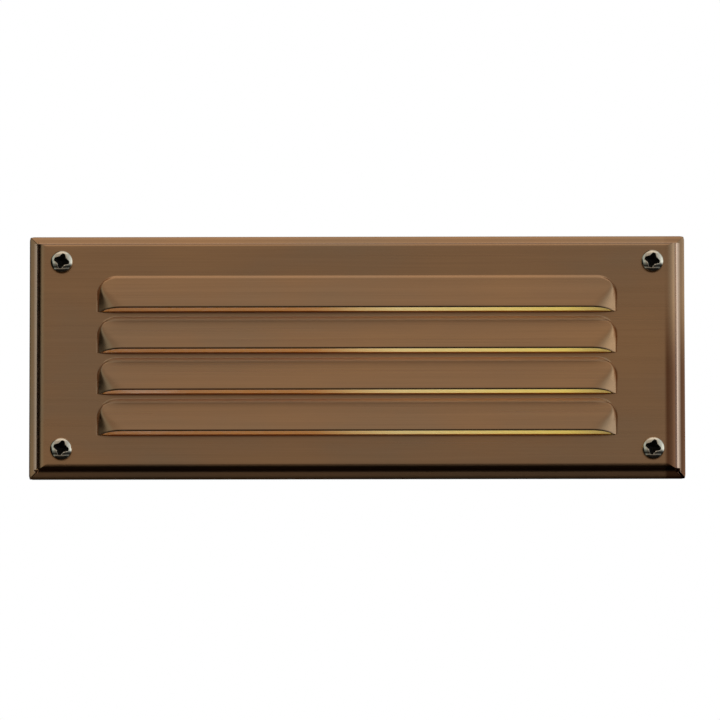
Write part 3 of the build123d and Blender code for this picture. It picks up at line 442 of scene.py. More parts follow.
def plate_mesh():
    """The flat blank of one louvre row and the plate's two borders, with what the louvre tree reads."""
    mesh = bmesh.new()
    row_mark = mesh.faces.layers.int.new("louvre_row")
    drop_mark = mesh.verts.layers.float.new("below_crease")
    foot_mark = mesh.verts.layers.float.new("inside_foot")
    # This mark carries the painted highlight along the fold at each end of the tray.
    fold_highlight_mark = mesh.verts.layers.float.new("end_fold_highlight")
    # This mark carries the painted shade that leaves the lip and the cut nearly black.
    cut_shade_mark = mesh.verts.layers.float.new("cut_edge_shade")
    fold_highlight_levels = [flange_top - FOLD_HIGHLIGHT_WIDTH / 2, flange_top + FOLD_HIGHLIGHT_WIDTH / 2]

    def vertex(x, z, depth, drop=-1.0, foot=-1.0, edge=0.0):
        made = mesh.verts.new((x, depth - FACE_RISE, z))
        made[cut_shade_mark] = edge
        on_line = fold_highlight_levels[0] < depth < fold_highlight_levels[1] and half_x - FLANGE - abs(x) > -FOLD * FOLD_HIGHLIGHT_REACH
        made[fold_highlight_mark] = 1.0 if on_line and abs(z) < half_z - FLANGE else 0.0
        made[drop_mark] = drop
        made[foot_mark] = foot
        return made

    def face(corners, row):
        made = mesh.faces.new(corners)
        made[row_mark] = row

    def louvre_row():
        """From just above one crease to just above the next, open along the cut."""
        drops = [[drop] * len(columns) for drop in hood_rows]
        last = hood_rows[-1]
        for share in LIP_SHARES:
            drops.append([last + share * (hood_drop - lip_gap(x) - last) for x, depth, step in columns])
        lip = len(drops) - 1
        turned_in = [0.0] * (len(drops) - len(LIP_TURNED_IN)) + list(LIP_TURNED_IN)
        turned_in += [back for below, back in CUT_ROWS] + [0.0]
        for below, back in CUT_ROWS:
            drops.append([hood_drop + below - CUT_SHARE * lip_gap(x) for x, depth, step in columns])
        drops.append([hood_pitch + hood_rows[0]] * len(columns))
        made = []
        for number, row in enumerate(drops):
            points = []
            for (column, depth, step), drop in zip(columns, row):
                x = drawn_to_outline(column, drop) if number <= lip else column
                open_share = min(1.0, lip_gap(column) / HOOD_LIP_GAP)
                depth += turned_in[number] * open_share
                # Painted shade: the last rows of the lip and the first row of the cut are marked to go nearly
                # black.
                edge = open_share if lip - 2 <= number <= lip + 1 else 0.0
                if number <= lip and step == len(border(END_ROLL)):
                    points.append(vertex(x, hood_top - drop, depth, drop, inside_foot(x, drop), edge))
                else:
                    points.append(vertex(x, hood_top - drop, depth, edge=edge))
            made.append(points)
        for number in range(len(drops) - 1):
            for i in range(len(columns) - 1):
                open_here = max(lip_gap(columns[i][0]), lip_gap(columns[i + 1][0])) > 0
                if number == lip and open_here:
                    continue
                upper, lower = made[number], made[number + 1]
                face((upper[i], upper[i + 1], lower[i + 1], lower[i]), 1)

    def long_border(side):
        """The plate above or below the louvres, with two mitred corners and two screw holes."""
        foot = half_z - FLANGE
        edge = [(foot - inset, depth, step) for step, (inset, depth) in enumerate(border(LONG_ROLL))]
        start = hood_top - hood_rows[0] if side > 0 else hood_pitch * HOOD_COUNT - hood_top + hood_rows[0]
        marks = [start] + [screw_z + offset for offset in hole_offsets] + [LINE_ABOVE_HOLE]
        across = [(z, 0.0, len(edge)) for z in marks] + list(reversed(edge))
        grid = {}
        for j, (z, row_depth, row_step) in enumerate(across):
            for i, (x, depth, step) in enumerate(columns):
                deep = max(depth, row_depth)
                if step != row_step or step == len(edge):
                    grid[i, j, 0] = grid[i, j, 1] = vertex(x, side * z, deep)
                    continue
                seam = SEAMS[int(math.copysign(1, x)), side]
                open_by = seam / 2 * min(1.0, max(0.0, (deep - SEAM_FROM) / SEAM_GROWTH))
                grid[i, j, 0] = vertex(x, side * (z - open_by), deep)
                grid[i, j, 1] = vertex(x - math.copysign(open_by, x), side * z, deep)
        for j in range(len(across) - 1):
            for i in range(len(columns) - 1):
                square = [(i, j), (i + 1, j), (i + 1, j + 1), (i, j + 1)]
                middle_x = (columns[i][0] + columns[i + 1][0]) / 2
                middle_z = (across[j][0] + across[j + 1][0]) / 2
                if max(abs(abs(middle_x) - screw_x), abs(middle_z - screw_z)) < HOLE_SQUARE:
                    continue
                steps = [columns[a][2] for a, b in square], [across[b][2] for a, b in square]
                mitre = [s for s in range(4) if steps[0][s] == steps[1][s] < len(edge)]
                if len(mitre) == 2:
                    for third in set(range(4)) - set(mitre):
                        half = 0 if steps[0][third] < steps[1][third] else 1
                        trio = [grid[square[s][0], square[s][1], half] for s in sorted(mitre + [third])]
                        face(trio if side < 0 else trio[::-1], 0)
                else:
                    half = 0 if sum(steps[0]) < sum(steps[1]) else 1
                    corner = [grid[a, b, half] for a, b in square]
                    face(corner if side < 0 else corner[::-1], 0)
        for hole_side in (-1, 1):
            screw_hole(grid, across, side, hole_side * screw_x)

    def screw_hole(grid, across, side, centre_x):
        """A ring of faces from the square left in the grid to the round hole."""
        reach = HOLE_SQUARE + SLACK
        in_x = [i for i, column in enumerate(columns) if abs(column[0] - centre_x) < reach]
        in_z = [j for j, row in enumerate(across) if abs(row[0] - screw_z) < reach]
        loop = [(i, in_z[0]) for i in in_x] + [(in_x[-1], j) for j in in_z[1:]]
        loop += [(i, in_z[-1]) for i in reversed(in_x[:-1])] + [(in_x[0], j) for j in reversed(in_z[1:-1])]
        outer = [grid[i, j, 0] for i, j in loop]
        centre_z = side * screw_z
        inner = []
        for corner in outer:
            away = Vector((corner.co.x - centre_x, 0, corner.co.z - centre_z)).normalized() * SCREW_HOLE
            inner.append(vertex(centre_x + away.x, centre_z + away.z, 0.0))
        for k in range(len(loop)):
            after = (k + 1) % len(loop)
            ring = (outer[k], outer[after], inner[after], inner[k])
            face(ring if side < 0 else ring[::-1], 0)

    louvre_row()
    long_border(1)
    long_border(-1)
    bmesh.ops.delete(mesh, geom=[v for v in mesh.verts if not v.link_faces], context="VERTS")
    bmesh.ops.recalc_face_normals(mesh, faces=mesh.faces)
    made_mesh = bpy.data.meshes.new("louvred_plate")
    mesh.to_mesh(made_mesh)
    mesh.free()
    return made_mesh


MERGE_DISTANCE = 0.000008


def tree_input(tree, name, kind, value):
    """A named input of a node tree, with its default."""
    socket = tree.interface.new_socket(name=name, in_out="INPUT", socket_type=kind)
    if value is not None:
        socket.default_value = value
    return socket


def geometry_tree(name, given_geometry, made_geometry, inputs):
    """A Geometry Nodes tree with its named inputs, and its two end nodes."""
    tree = bpy.data.node_groups.new(name, "GeometryNodeTree")
    tree_input(tree, given_geometry, "NodeSocketGeometry", None)
    for label, (kind, value) in inputs.items():
        tree_input(tree, label, "NodeSocket" + kind, value)
    tree_input(tree, "Metal", "NodeSocketMaterial", None)
    tree.interface.new_socket(name=made_geometry, in_out="OUTPUT", socket_type="NodeSocketGeometry")
    return tree, tree.nodes.new("NodeGroupInput").outputs, tree.nodes.new("NodeGroupOutput")


def finish_tree(tree, geometry, metal, output):
    """Ends a tree: its instances made real, its doubles merged and its material set."""
    real = add_node(tree, "GeometryNodeRealizeInstances", {"Geometry": geometry})
    merged = add_node(
        tree, "GeometryNodeMergeByDistance", {"Geometry": real.outputs[0], "Distance": MERGE_DISTANCE}
    )
    painted = add_node(
        tree, "GeometryNodeSetMaterial", {"Geometry": merged.outputs[0], "Material": metal}
    )
    tree.links.new(painted.outputs[0], output.inputs[0])


# How a hood's end changes with the drop below its crease. A pair is the drops where a change starts and ends.
CREASE_BLEND = 0.0005
HOOD_BLEND = 0.0042
FOOT_BLEND = 0.00012
FOOT_GROOVE = 0.00022
GROOVE_WIDTH = 0.00040
STEEPENS = (0.0006, 0.0026)
EASES = (0.0030, 0.0125)
BLEND_GROWS = (0.0012, 0.0060)
GROOVE_DEEPENS = (0.0025, 0.0060)
ROW_START = -0.0007


def louvre_tree():
    """Raises a hood on the marked row, repeats the row down the plate and joins it to the borders."""
    tree, given, output = geometry_tree("louvre_rows", "Blank", "Plate", {
        "Rows": ("Int", HOOD_COUNT),
        "Pitch": ("Float", hood_pitch),
        "Crease Rise": ("Float", CREASE_RISE),
        "Hood Slope": ("Float", (lip_rise - CREASE_RISE) / (hood_drop - HOOD_LIP_GAP)),
        "Crease Spread": ("Float", CREASE_SPREAD),
        "Least Spread": ("Float", LEAST_SPREAD),
        "Lip Spread": ("Float", LIP_SPREAD),
        "Crease Blend": ("Float", CREASE_BLEND),
        "Blend": ("Float", HOOD_BLEND),
        "Foot Groove": ("Float", FOOT_GROOVE),
    })

    def read(name, kind):
        node = add_node(tree, "GeometryNodeInputNamedAttribute", {"Name": name}, data_type=kind)
        return node.outputs["Attribute"]

    def blended(operation, a, b, distance):
        return add_node(tree, "ShaderNodeMath", {0: a, 1: b, 2: distance}, operation=operation).outputs[0]

    drop, foot = read("below_crease", "FLOAT"), read("inside_foot", "FLOAT")
    slope = calculate(tree, "MULTIPLY", drop, given["Hood Slope"])
    slope = calculate(tree, "ADD", slope, given["Crease Rise"])
    at_corner = smooth_step(tree, drop, *STEEPENS, given["Crease Spread"], given["Least Spread"])
    widening = calculate(tree, "SUBTRACT", given["Lip Spread"], given["Least Spread"])
    to_lip = smooth_step(tree, drop, *EASES, 0.0, widening)
    spread = calculate(tree, "ADD", at_corner, to_lip)
    end_wall = calculate(tree, "DIVIDE", foot, spread)
    blend = smooth_step(tree, drop, *BLEND_GROWS, given["Crease Blend"], given["Blend"])
    hood = blended("SMOOTH_MIN", slope, end_wall, blend)
    raised = blended("SMOOTH_MAX", hood, 0.0, FOOT_BLEND)
    off_foot = calculate(tree, "ABSOLUTE", foot, 0.0)
    near_foot = smooth_step(tree, off_foot, GROOVE_WIDTH, 0.0, 0.0, given["Foot Groove"])
    on_end = smooth_step(tree, drop, *GROOVE_DEEPENS)
    sunk = calculate(tree, "SUBTRACT", raised, calculate(tree, "MULTIPLY", near_foot, on_end))
    outwards = add_node(tree, "ShaderNodeCombineXYZ", {"Y": calculate(tree, "MULTIPLY", sunk, -1.0)})
    parts = add_node(
        tree,
        "GeometryNodeSeparateGeometry",
        {"Geometry": given["Blank"], "Selection": read("louvre_row", "INT")},
        domain="FACE",
    )
    on_hood = add_node(tree, "FunctionNodeCompare", {0: drop, 1: ROW_START}, operation="GREATER_THAN")
    hooded = add_node(
        tree,
        "GeometryNodeSetPosition",
        {
            "Geometry": parts.outputs["Selection"],
            "Selection": on_hood.outputs[0],
            "Offset": outwards.outputs[0],
        },
    )
    step = add_node(tree, "ShaderNodeCombineXYZ", {"Z": calculate(tree, "MULTIPLY", given["Pitch"], -1.0)})
    places = add_node(
        tree, "GeometryNodeMeshLine", {"Count": given["Rows"], "Offset": step.outputs[0]}, mode="OFFSET"
    )
    repeated = add_node(
        tree, "GeometryNodeInstanceOnPoints", {"Points": places.outputs[0], "Instance": hooded.outputs[0]}
    )
    joined = tree.nodes.new("GeometryNodeJoinGeometry")
    tree.links.new(repeated.outputs[0], joined.inputs[0])
    tree.links.new(parts.outputs["Inverted"], joined.inputs[0])
    finish_tree(tree, joined.outputs[0], given["Metal"], output)
    return tree


def run_tree(obj, tree, values):
    """Adds a geometry tree to an object, with its inputs set by their identifiers."""
    modifier = obj.modifiers.new(tree.name, "NODES")
    modifier.node_group = tree
    for item in tree.interface.items_tree:
        if item.item_type == "SOCKET" and item.in_out == "INPUT" and item.name in values:
            modifier[item.identifier] = values[item.name]


def smooth(mesh, sharp_angle):
    """Smooth shading, broken at edges sharper than the angle."""
    mesh.polygons.foreach_set("use_smooth", [True] * len(mesh.polygons))
    mesh.set_sharp_from_angle(angle=math.radians(sharp_angle))


def evaluated_mesh(obj):
    """The plain mesh that an object's modifiers or curve make."""
    graph = bpy.context.evaluated_depsgraph_get()
    return bpy.data.meshes.new_from_object(obj.evaluated_get(graph))


def plain_mesh(obj, sharp_angle):
    """Turns an object's evaluated modifiers into its own mesh."""
    result = evaluated_mesh(obj)
    obj.modifiers.clear()
    obj.data = result
    smooth(result, sharp_angle)


def link(name, mesh, *materials):
    """A new object at the origin with this mesh and these materials."""
    obj = bpy.data.objects.new(name, mesh)
    scene.collection.objects.link(obj)
    for used in materials:
        obj.data.materials.append(used)
    return obj


def declare(obj, body, finish, *nodes):
    """Says which body the piece rides on and which nodes it stands for, hiding them. The finish is not used.
    """
    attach(obj, body)
    if nodes:
        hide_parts(*nodes)


def dress_corners(mesh):
    """Closes the sheet's back along the mitres, so that each is a groove, and rounds the outer corners."""
    first_back = len(mesh.vertices) // 2
    seam_reach = max(SEAMS.values()) * SEAM_REACH
    for point in mesh.vertices:
        place = point.co
        from_end, from_side = max(half_x - abs(place.x), 0.0), max(half_z - abs(place.z), 0.0)
        on_mitre = from_end < FLANGE + SHEET and abs(from_end - from_side) < seam_reach
        if point.index >= first_back and on_mitre:
            from_end = from_side = (from_end + from_side) / 2
        across, up = 1 - from_end / CORNER_ROUND, 1 - from_side / CORNER_ROUND
        if min(across, up) > 0:
            pulled = max(across, up) / math.hypot(across, up)
            from_end = CORNER_ROUND * (1 - across * pulled)
            from_side = CORNER_ROUND * (1 - up * pulled)
        place.x = math.copysign(half_x - from_end, place.x)
        place.z = math.copysign(half_z - from_side, place.z)
        place.y = min(place.y, 0.0) if from_end < FLANGE or from_side < FLANGE else place.y


def group_tree(name, inputs, outputs):
    """A shader node group with its named inputs and outputs, and its two end nodes."""
    tree = bpy.data.node_groups.new(name, "ShaderNodeTree")
    for label, value in inputs.items():
        tree_input(tree, label, "NodeSocketFloat", value)
    for label in outputs:
        tree.interface.new_socket(name=label, in_out="OUTPUT", socket_type="NodeSocketFloat")
    return tree, tree.nodes.new("NodeGroupInput").outputs, tree.nodes.new("NodeGroupOutput")


def scaled_noise(tree, scale, detail):
    """Noise over object coordinates, its scale one number or one for each axis."""
    if isinstance(scale, float):
        scale = (scale, scale, scale)
    place = add_node(tree, "ShaderNodeTexCoord").outputs["Object"]
    stretched = add_node(tree, "ShaderNodeVectorMath", {0: place, 1: scale}, operation="MULTIPLY")
    noise = {"Vector": stretched.outputs[0], "Scale": 1.0, "Detail": detail}
    return add_node(tree, "ShaderNodeTexNoise", noise).outputs[0]


def relief(tree, height, strength, distance):
    """The normal of a surface with this height."""
    values = {"Height": height, "Strength": strength, "Distance": distance}
    return add_node(tree, "ShaderNodeBump", values).outputs[0]


def read_mark(tree, name):
    """What the mesh holds under this name."""
    return add_node(tree, "ShaderNodeAttribute", attribute_name=name).outputs["Fac"]


def object_axes(tree):
    """The object coordinates, one output for each axis."""
    place = add_node(tree, "ShaderNodeTexCoord").outputs["Object"]
    return add_node(tree, "ShaderNodeSeparateXYZ", {"Vector": place}).outputs


def laid_over(tree, tone, color, share):
    """The tone with a colour laid over it by its share."""
    values = {0: share, 6: tone, 7: (*color, 1)}
    return add_node(tree, "ShaderNodeMix", values, data_type="RGBA").outputs[2]


STREAK_SHARE = 0.16


def brushed_grain():
    """Straight scratches along X: a fine one for height and a broad faint one for colour."""
    inputs = {"Across": 9000.0, "Along": 60.0}
    tree, given, output = group_tree("brushed_grain", inputs, ["Grain", "Streak"])
    fine = {"X": given["Along"], "Y": given["Across"], "Z": given["Across"]}
    broad = {axis: calculate(tree, "MULTIPLY", rate, STREAK_SHARE) for axis, rate in fine.items()}
    for rates, detail, name in ((fine, 2.0, "Grain"), (broad, 3.0, "Streak")):
        scale = add_node(tree, "ShaderNodeCombineXYZ", rates).outputs[0]
        tree.links.new(scaled_noise(tree, scale, detail), output.inputs[name])
    return tree


grain_group = brushed_grain()


def place_group(tree, group, inputs):
    """A node that uses a shader group, with its own values, and its outputs."""
    node = tree.nodes.new("ShaderNodeGroup")
    node.node_tree = group
    for key, value in inputs.items():
        node.inputs[key].default_value = value
    return node.outputs


# Colours are linear and places are in metres. A pair of places is where a mark's fade starts and ends.
BRONZE_CLOUDS = (16.0, 34.0, 34.0)
BRONZE_TONES = (
    (0.32, (0.425, 0.246, 0.128)),
    (0.50, (0.465, 0.248, 0.117)),
    (0.70, (0.505, 0.262, 0.116)),
)
# Painted shade on the lower right border, darker towards the bottom: its tone, where it starts across X, the
# heights where it fades in, and its share above them.
PAINTED_SHADE_TONE = (0.19, 0.07, 0.024)
PAINTED_SHADE_EDGE = (0.1098, 0.1112)
PAINTED_SHADE_HEIGHTS = (0.026, -0.008)
LEAST_PAINTED_SHADE = 0.15
# A painted highlight of pale copper along the crease of each lower hood: its tone, where it lies off the
# hood's foot, how it fades, the rows it keeps to, and the roughness it adds.
CREASE_HIGHLIGHT_TONE = (1.0, 0.68, 0.39)
CREASE_HIGHLIGHT_FROM_FOOT = 0.0007
CREASE_HIGHLIGHT_FADE = (0.00115, 0.0007)
CREASE_HIGHLIGHT_BELOW_TOP = (0.002, 0.004)
CREASE_HIGHLIGHT_DROP = (0.0022, 0.0008)
CREASE_HIGHLIGHT_ROUGHNESS = 0.40
# Tone of the painted highlight on the folds at the two ends.
FOLD_HIGHLIGHT_TONE = (0.85, 0.54, 0.36)
# Tone of the painted shade on the cut edge.
CUT_SHADE_TONE = (0.06, 0.035, 0.02)
SCRATCH_LEVELS = (0.93, 1.06)
BRONZE_ROUGHNESS = (0.27, 0.33)


def antique_bronze():
    """Brushed brass, chemically darkened and lacquered, with painted copper highlights.

    Painted shade darkens the lower right border towards the bottom. Painted copper highlights lie on the
    creases of the lower hoods and on the folds at the two ends, and painted shade leaves the cut edge of each
    lip nearly black.
    """
    made = material("antique_bronze")
    tree = made.node_tree
    axes = object_axes(tree)
    tone = ramp_node(tree, scaled_noise(tree, BRONZE_CLOUDS, 4.0), BRONZE_TONES)
    # Painted shade: the lower right border darkened towards the bottom.
    painted_shade = smooth_step(tree, axes["Z"], *PAINTED_SHADE_HEIGHTS, LEAST_PAINTED_SHADE, 1.0)
    painted_shade = calculate(tree, "MULTIPLY", smooth_step(tree, axes["X"], *PAINTED_SHADE_EDGE), painted_shade)
    tone = laid_over(tree, tone, PAINTED_SHADE_TONE, painted_shade)
    # Painted highlight: pale copper along the creases of the lower hoods, where the hood above blocks the
    # light.
    from_line = calculate(tree, "SUBTRACT", read_mark(tree, "inside_foot"), CREASE_HIGHLIGHT_FROM_FOOT)
    crease = smooth_step(tree, calculate(tree, "ABSOLUTE", from_line, 0.0), *CREASE_HIGHLIGHT_FADE)
    lower_rows = smooth_step(tree, axes["Z"], *(hood_top - drop for drop in CREASE_HIGHLIGHT_BELOW_TOP))
    near_top = smooth_step(tree, read_mark(tree, "below_crease"), *CREASE_HIGHLIGHT_DROP)
    pale_share = calculate(tree, "MULTIPLY", calculate(tree, "MULTIPLY", crease, lower_rows), near_top)
    tone = laid_over(tree, tone, CREASE_HIGHLIGHT_TONE, pale_share)
    # Painted highlight: pale copper along the folds at the two ends.
    tone = laid_over(tree, tone, FOLD_HIGHLIGHT_TONE, read_mark(tree, "end_fold_highlight"))
    # Painted shade: the cut edge of each lip nearly black.
    tone = laid_over(tree, tone, CUT_SHADE_TONE, read_mark(tree, "cut_edge_shade"))
    grain = place_group(tree, grain_group, {"Across": 4200.0, "Along": 22.0})
    both = calculate(tree, "MULTIPLY", calculate(tree, "ADD", grain["Grain"], grain["Streak"]), 0.5)
    scratch = smooth_step(tree, both, 0.3, 0.7, *SCRATCH_LEVELS)
    color = add_node(tree, "ShaderNodeVectorMath", {0: tone, 1: scratch}, operation="MULTIPLY")
    rough = smooth_step(tree, grain["Streak"], 0.3, 0.7, *BRONZE_ROUGHNESS)
    rough = calculate(tree, "ADD", rough, calculate(tree, "MULTIPLY", pale_share, CREASE_HIGHLIGHT_ROUGHNESS))
    normal = relief(tree, grain["Grain"], 0.10, 0.00002)
    metal = {"Base Color": color.outputs[0], "Metallic": 1.0, "Roughness": rough, "Normal": normal}
    return shaded(made, {**metal, "Coat Weight": 0.30, "Coat Roughness": 0.18, "Coat IOR": 1.5})


plate = link("louvred_plate", plate_mesh())
run_tree(plate, louvre_tree(), {"Rows": HOOD_COUNT, "Pitch": hood_pitch, "Metal": antique_bronze()})
thickness = plate.modifiers.new("thickness", "SOLIDIFY")
thickness.thickness = SHEET - WASHER_GAP
thickness.offset = -1.0
plain_mesh(plate, sharp_angle=38)
dress_corners(plate.data)
declare(plate, "plate", "plate_bronze", "face_plate")


# ==== face screws ====
# Four pan head machine screws with a cross recess, nickelled and darkened so that the recess stays black.
# Each threads into a boss in a corner of the housing. A thread is a ridge wound on the shank.
HEAD_RADIUS = 0.0041
HEAD_SIDE = 0.0006
HEAD_DOME = 0.0020
HEAD_SEGMENTS = 64
HEAD_RINGS = 14
CROSS_TURN = math.radians(-15.0)
CROSS_REACH = 0.0031
CROSS_HALF_ARM = 0.00052
CROSS_CORE = 0.00128
CROSS_DEPTH = 0.0019
CROSS_FOOT_SHARE = 0.45
CROSS_SHOULDER = 0.0002
CROSS_MOUTH_SHARE = 1.12
CROSS_MOUTH_ABOVE = 0.0005
RECESS_REACH = 1.02
RECESS_FROM = 0.00012
SHANK_RADIUS = 0.00208
THREAD_FROM = 0.0031
THREAD_PITCH = 0.00079
THREAD_RIDGE = 0.00016
TURN_STEPS = 20
CORNERS = {"top_left": (-1, 1), "top_right": (1, 1), "bottom_left": (-1, -1), "bottom_right": (1, -1)}
ALONG_Y = (-math.pi / 2, 0.0, 0.0)


def cad_shape(name, node, thread_starts=()):
    """A node's own shape with its loose triangles merged, and a loose point where each thread starts."""
    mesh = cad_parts[node].data.copy()
    mesh.name = name
    mesh.materials.clear()
    work = bmesh.new()
    work.from_mesh(mesh)
    bmesh.ops.remove_doubles(work, verts=work.verts, dist=0.000002)
    bmesh.ops.dissolve_limit(work, angle_limit=math.radians(0.4), verts=work.verts, edges=work.edges)
    starts = work.verts.layers.float.new("thread_start")
    for place in thread_starts:
        work.verts.new(place)[starts] = 1.0
    work.to_mesh(mesh)
    work.free()
    return mesh


def cad_piece(name, node, body, finish, paint, sharp_angle=35):
    """A piece whose shape is its node's, smoothed and finished."""
    mesh = cad_shape(name, node)
    obj = link(name, mesh, paint)
    mesh.polygons.foreach_set("material_index", [0] * len(mesh.polygons))
    smooth(mesh, sharp_angle)
    declare(obj, body, finish, node)
    return obj


def winding_tree():
    """Winds a wire round an axis from each marked point and joins the windings to what is given."""
    tree, given, output = geometry_tree("winding", "Piece", "Wound", {
        "Radius": ("Float", SHANK_RADIUS),
        "Wire": ("Float", THREAD_RIDGE),
        "Turns": ("Float", 8.0),
        "Length": ("Float", 0.006),
        "Sides": ("Int", 4),
        "Axis": ("Vector", ALONG_Y),
    })
    mark = add_node(
        tree, "GeometryNodeInputNamedAttribute", {"Name": "thread_start"}, data_type="FLOAT"
    )
    parts = add_node(
        tree,
        "GeometryNodeSeparateGeometry",
        {"Geometry": given["Piece"], "Selection": mark.outputs["Attribute"]},
        domain="POINT",
    )
    spiral = add_node(
        tree,
        "GeometryNodeCurveSpiral",
        {
            "Resolution": TURN_STEPS,
            "Rotations": given["Turns"],
            "Start Radius": given["Radius"],
            "End Radius": given["Radius"],
            "Height": given["Length"],
        },
    )
    section = add_node(
        tree, "GeometryNodeCurvePrimitiveCircle", {"Resolution": given["Sides"], "Radius": given["Wire"]}
    )
    wire = add_node(
        tree,
        "GeometryNodeCurveToMesh",
        {"Curve": spiral.outputs[0], "Profile Curve": section.outputs[0], "Fill Caps": True},
    )
    wound = add_node(
        tree,
        "GeometryNodeInstanceOnPoints",
        {"Points": parts.outputs["Selection"], "Instance": wire.outputs[0], "Rotation": given["Axis"]},
    )
    joined = tree.nodes.new("GeometryNodeJoinGeometry")
    tree.links.new(wound.outputs[0], joined.inputs[0])
    tree.links.new(parts.outputs["Inverted"], joined.inputs[0])
    finish_tree(tree, joined.outputs[0], given["Metal"], output)
    return tree


winding = winding_tree()


def threaded_piece(name, node, body, finish, paint, starts, radius, length, pitch=THREAD_PITCH):
    """A piece of the node's shape with a thread wound on each of its shanks."""
    obj = link(name, cad_shape(name, node, starts))
    values = {"Radius": radius, "Turns": length / pitch, "Length": length, "Metal": paint}
    run_tree(obj, winding, values)
    plain_mesh(obj, sharp_angle=35)
    declare(obj, body, finish, node)
    return obj


def darkened_nickel():
    """Polished warm nickel, almost black where the recess goes down."""
    made = material("darkened_nickel")
    tree = made.node_tree
    recess = read_mark(tree, "recess_depth")
    wear = scaled_noise(tree, 1500.0, 3.0)
    bright = ramp_node(tree, wear, [(0.35, (0.70, 0.57, 0.41)), (0.65, (0.86, 0.72, 0.54))])
    tone = laid_over(tree, bright, (0.012, 0.010, 0.008), recess)
    rough = smooth_step(tree, recess, 0.0, 1.0, 0.11, 0.42)
    return shaded(made, {"Base Color": tone, "Metallic": 1.0, "Roughness": rough})


def solid(name, rings, closed_by_point=None):
    """A closed mesh through rings of points, its last end closed by a point or a face."""
    work = bmesh.new()
    loops = [[work.verts.new(place) for place in ring] for ring in rings]
    count = len(loops[0])
    for lower, upper in zip(loops, loops[1:]):
        for i in range(count):
            after = (i + 1) % count
            work.faces.new((lower[i], lower[after], upper[after], upper[i]))
    work.faces.new(loops[0])
    if closed_by_point is None:
        work.faces.new(loops[-1])
    else:
        tip = work.verts.new(closed_by_point)
        for i in range(count):
            work.faces.new((loops[-1][i], loops[-1][(i + 1) % count], tip))
    bmesh.ops.recalc_face_normals(work, faces=work.faces)
    mesh = bpy.data.meshes.new(name)
    work.to_mesh(mesh)
    work.free()
    return mesh


def dome_rise(out):
    """How far the head stands off the plate's face at this distance from its axis."""
    return HEAD_SIDE + HEAD_DOME * math.sqrt(max(0.0, 1 - (out / HEAD_RADIUS) ** 2))


def ring_of_points(middle, radius, y):
    """A level circle of points round the screw's axis."""
    turns = [2 * math.pi * i / HEAD_SEGMENTS for i in range(HEAD_SEGMENTS)]
    return [(middle.x + radius * math.cos(t), y, middle.z + radius * math.sin(t)) for t in turns]


def cross_outline(middle, share, y):
    """The recess's twelve-cornered outline at this share of its full size."""
    arm = ((CROSS_REACH, -CROSS_HALF_ARM), (CROSS_REACH, CROSS_HALF_ARM), (CROSS_CORE, CROSS_CORE))
    corners = []
    for quarter in range(4):
        turn = CROSS_TURN + quarter * math.pi / 2
        for u, v in arm:
            x = (u * math.cos(turn) - v * math.sin(turn)) * share
            z = (u * math.sin(turn) + v * math.cos(turn)) * share
            corners.append((middle.x + x, y, middle.z + z))
    return corners


def recessed_head(middle):
    """A domed head with a cross recess that narrows as it goes down."""
    face_y = -FACE_RISE
    rings = [ring_of_points(middle, HEAD_RADIUS, face_y)]
    for i in range(HEAD_RINGS):
        turn = math.pi / 2 * i / HEAD_RINGS
        radius = HEAD_RADIUS * math.cos(turn)
        rings.append(ring_of_points(middle, radius, face_y - HEAD_SIDE - HEAD_DOME * math.sin(turn)))
    top_y = face_y - HEAD_SIDE - HEAD_DOME
    head = link("head", solid("head", rings, (middle.x, top_y, middle.z)))
    cutter_rings = [
        cross_outline(middle, CROSS_FOOT_SHARE, top_y + CROSS_DEPTH),
        cross_outline(middle, 1.0, top_y + CROSS_SHOULDER),
        cross_outline(middle, CROSS_MOUTH_SHARE, top_y - CROSS_MOUTH_ABOVE),
    ]
    cutter = link("cutter", solid("cutter", cutter_rings))
    recess = head.modifiers.new("recess", "BOOLEAN")
    recess.operation = "DIFFERENCE"
    recess.solver = "EXACT"
    recess.object = cutter
    mesh = evaluated_mesh(head)
    bpy.data.objects.remove(head)
    bpy.data.objects.remove(cutter)
    return mesh


def with_own_head(mesh, middle):
    """Swaps the plain head of a screw's mesh for the domed one."""
    work = bmesh.new()
    work.from_mesh(mesh)
    old = [v for v in work.verts if v.co.y < -FACE_RISE - SLACK]
    bmesh.ops.delete(work, geom=old, context="VERTS")
    work.from_mesh(recessed_head(middle))
    work.to_mesh(mesh)
    work.free()


nickel = darkened_nickel()
for corner, (side_x, side_z) in CORNERS.items():
    middle = Vector((side_x * screw_x, 0.0, side_z * screw_z))
    thread_start = middle + Vector((0, THREAD_FROM, 0))
    mesh = cad_shape("cross_screw_" + corner, "face_screw_" + corner, [thread_start])
    with_own_head(mesh, middle)
    screw = link("cross_screw_" + corner, mesh)
    length = screw_high.y - THREAD_FROM - THREAD_PITCH
    run_tree(screw, winding, {"Turns": length / THREAD_PITCH, "Length": length, "Metal": nickel})
    plain_mesh(screw, sharp_angle=35)
    recess = screw.data.attributes.new("recess_depth", "FLOAT", "FACE")
    for face in screw.data.polygons:
        place = face.center
        out = math.hypot(place.x - middle.x, place.z - middle.z)
        below_dome = place.y + FACE_RISE + dome_rise(out) > RECESS_FROM
        in_cross = out < CROSS_REACH * RECESS_REACH and place.y < -FACE_RISE and below_dome
        recess.data[face.index].value = 1.0 if in_cross else 0.0
    declare(screw, "screw_" + corner, "screw_steel", "face_screw_" + corner)


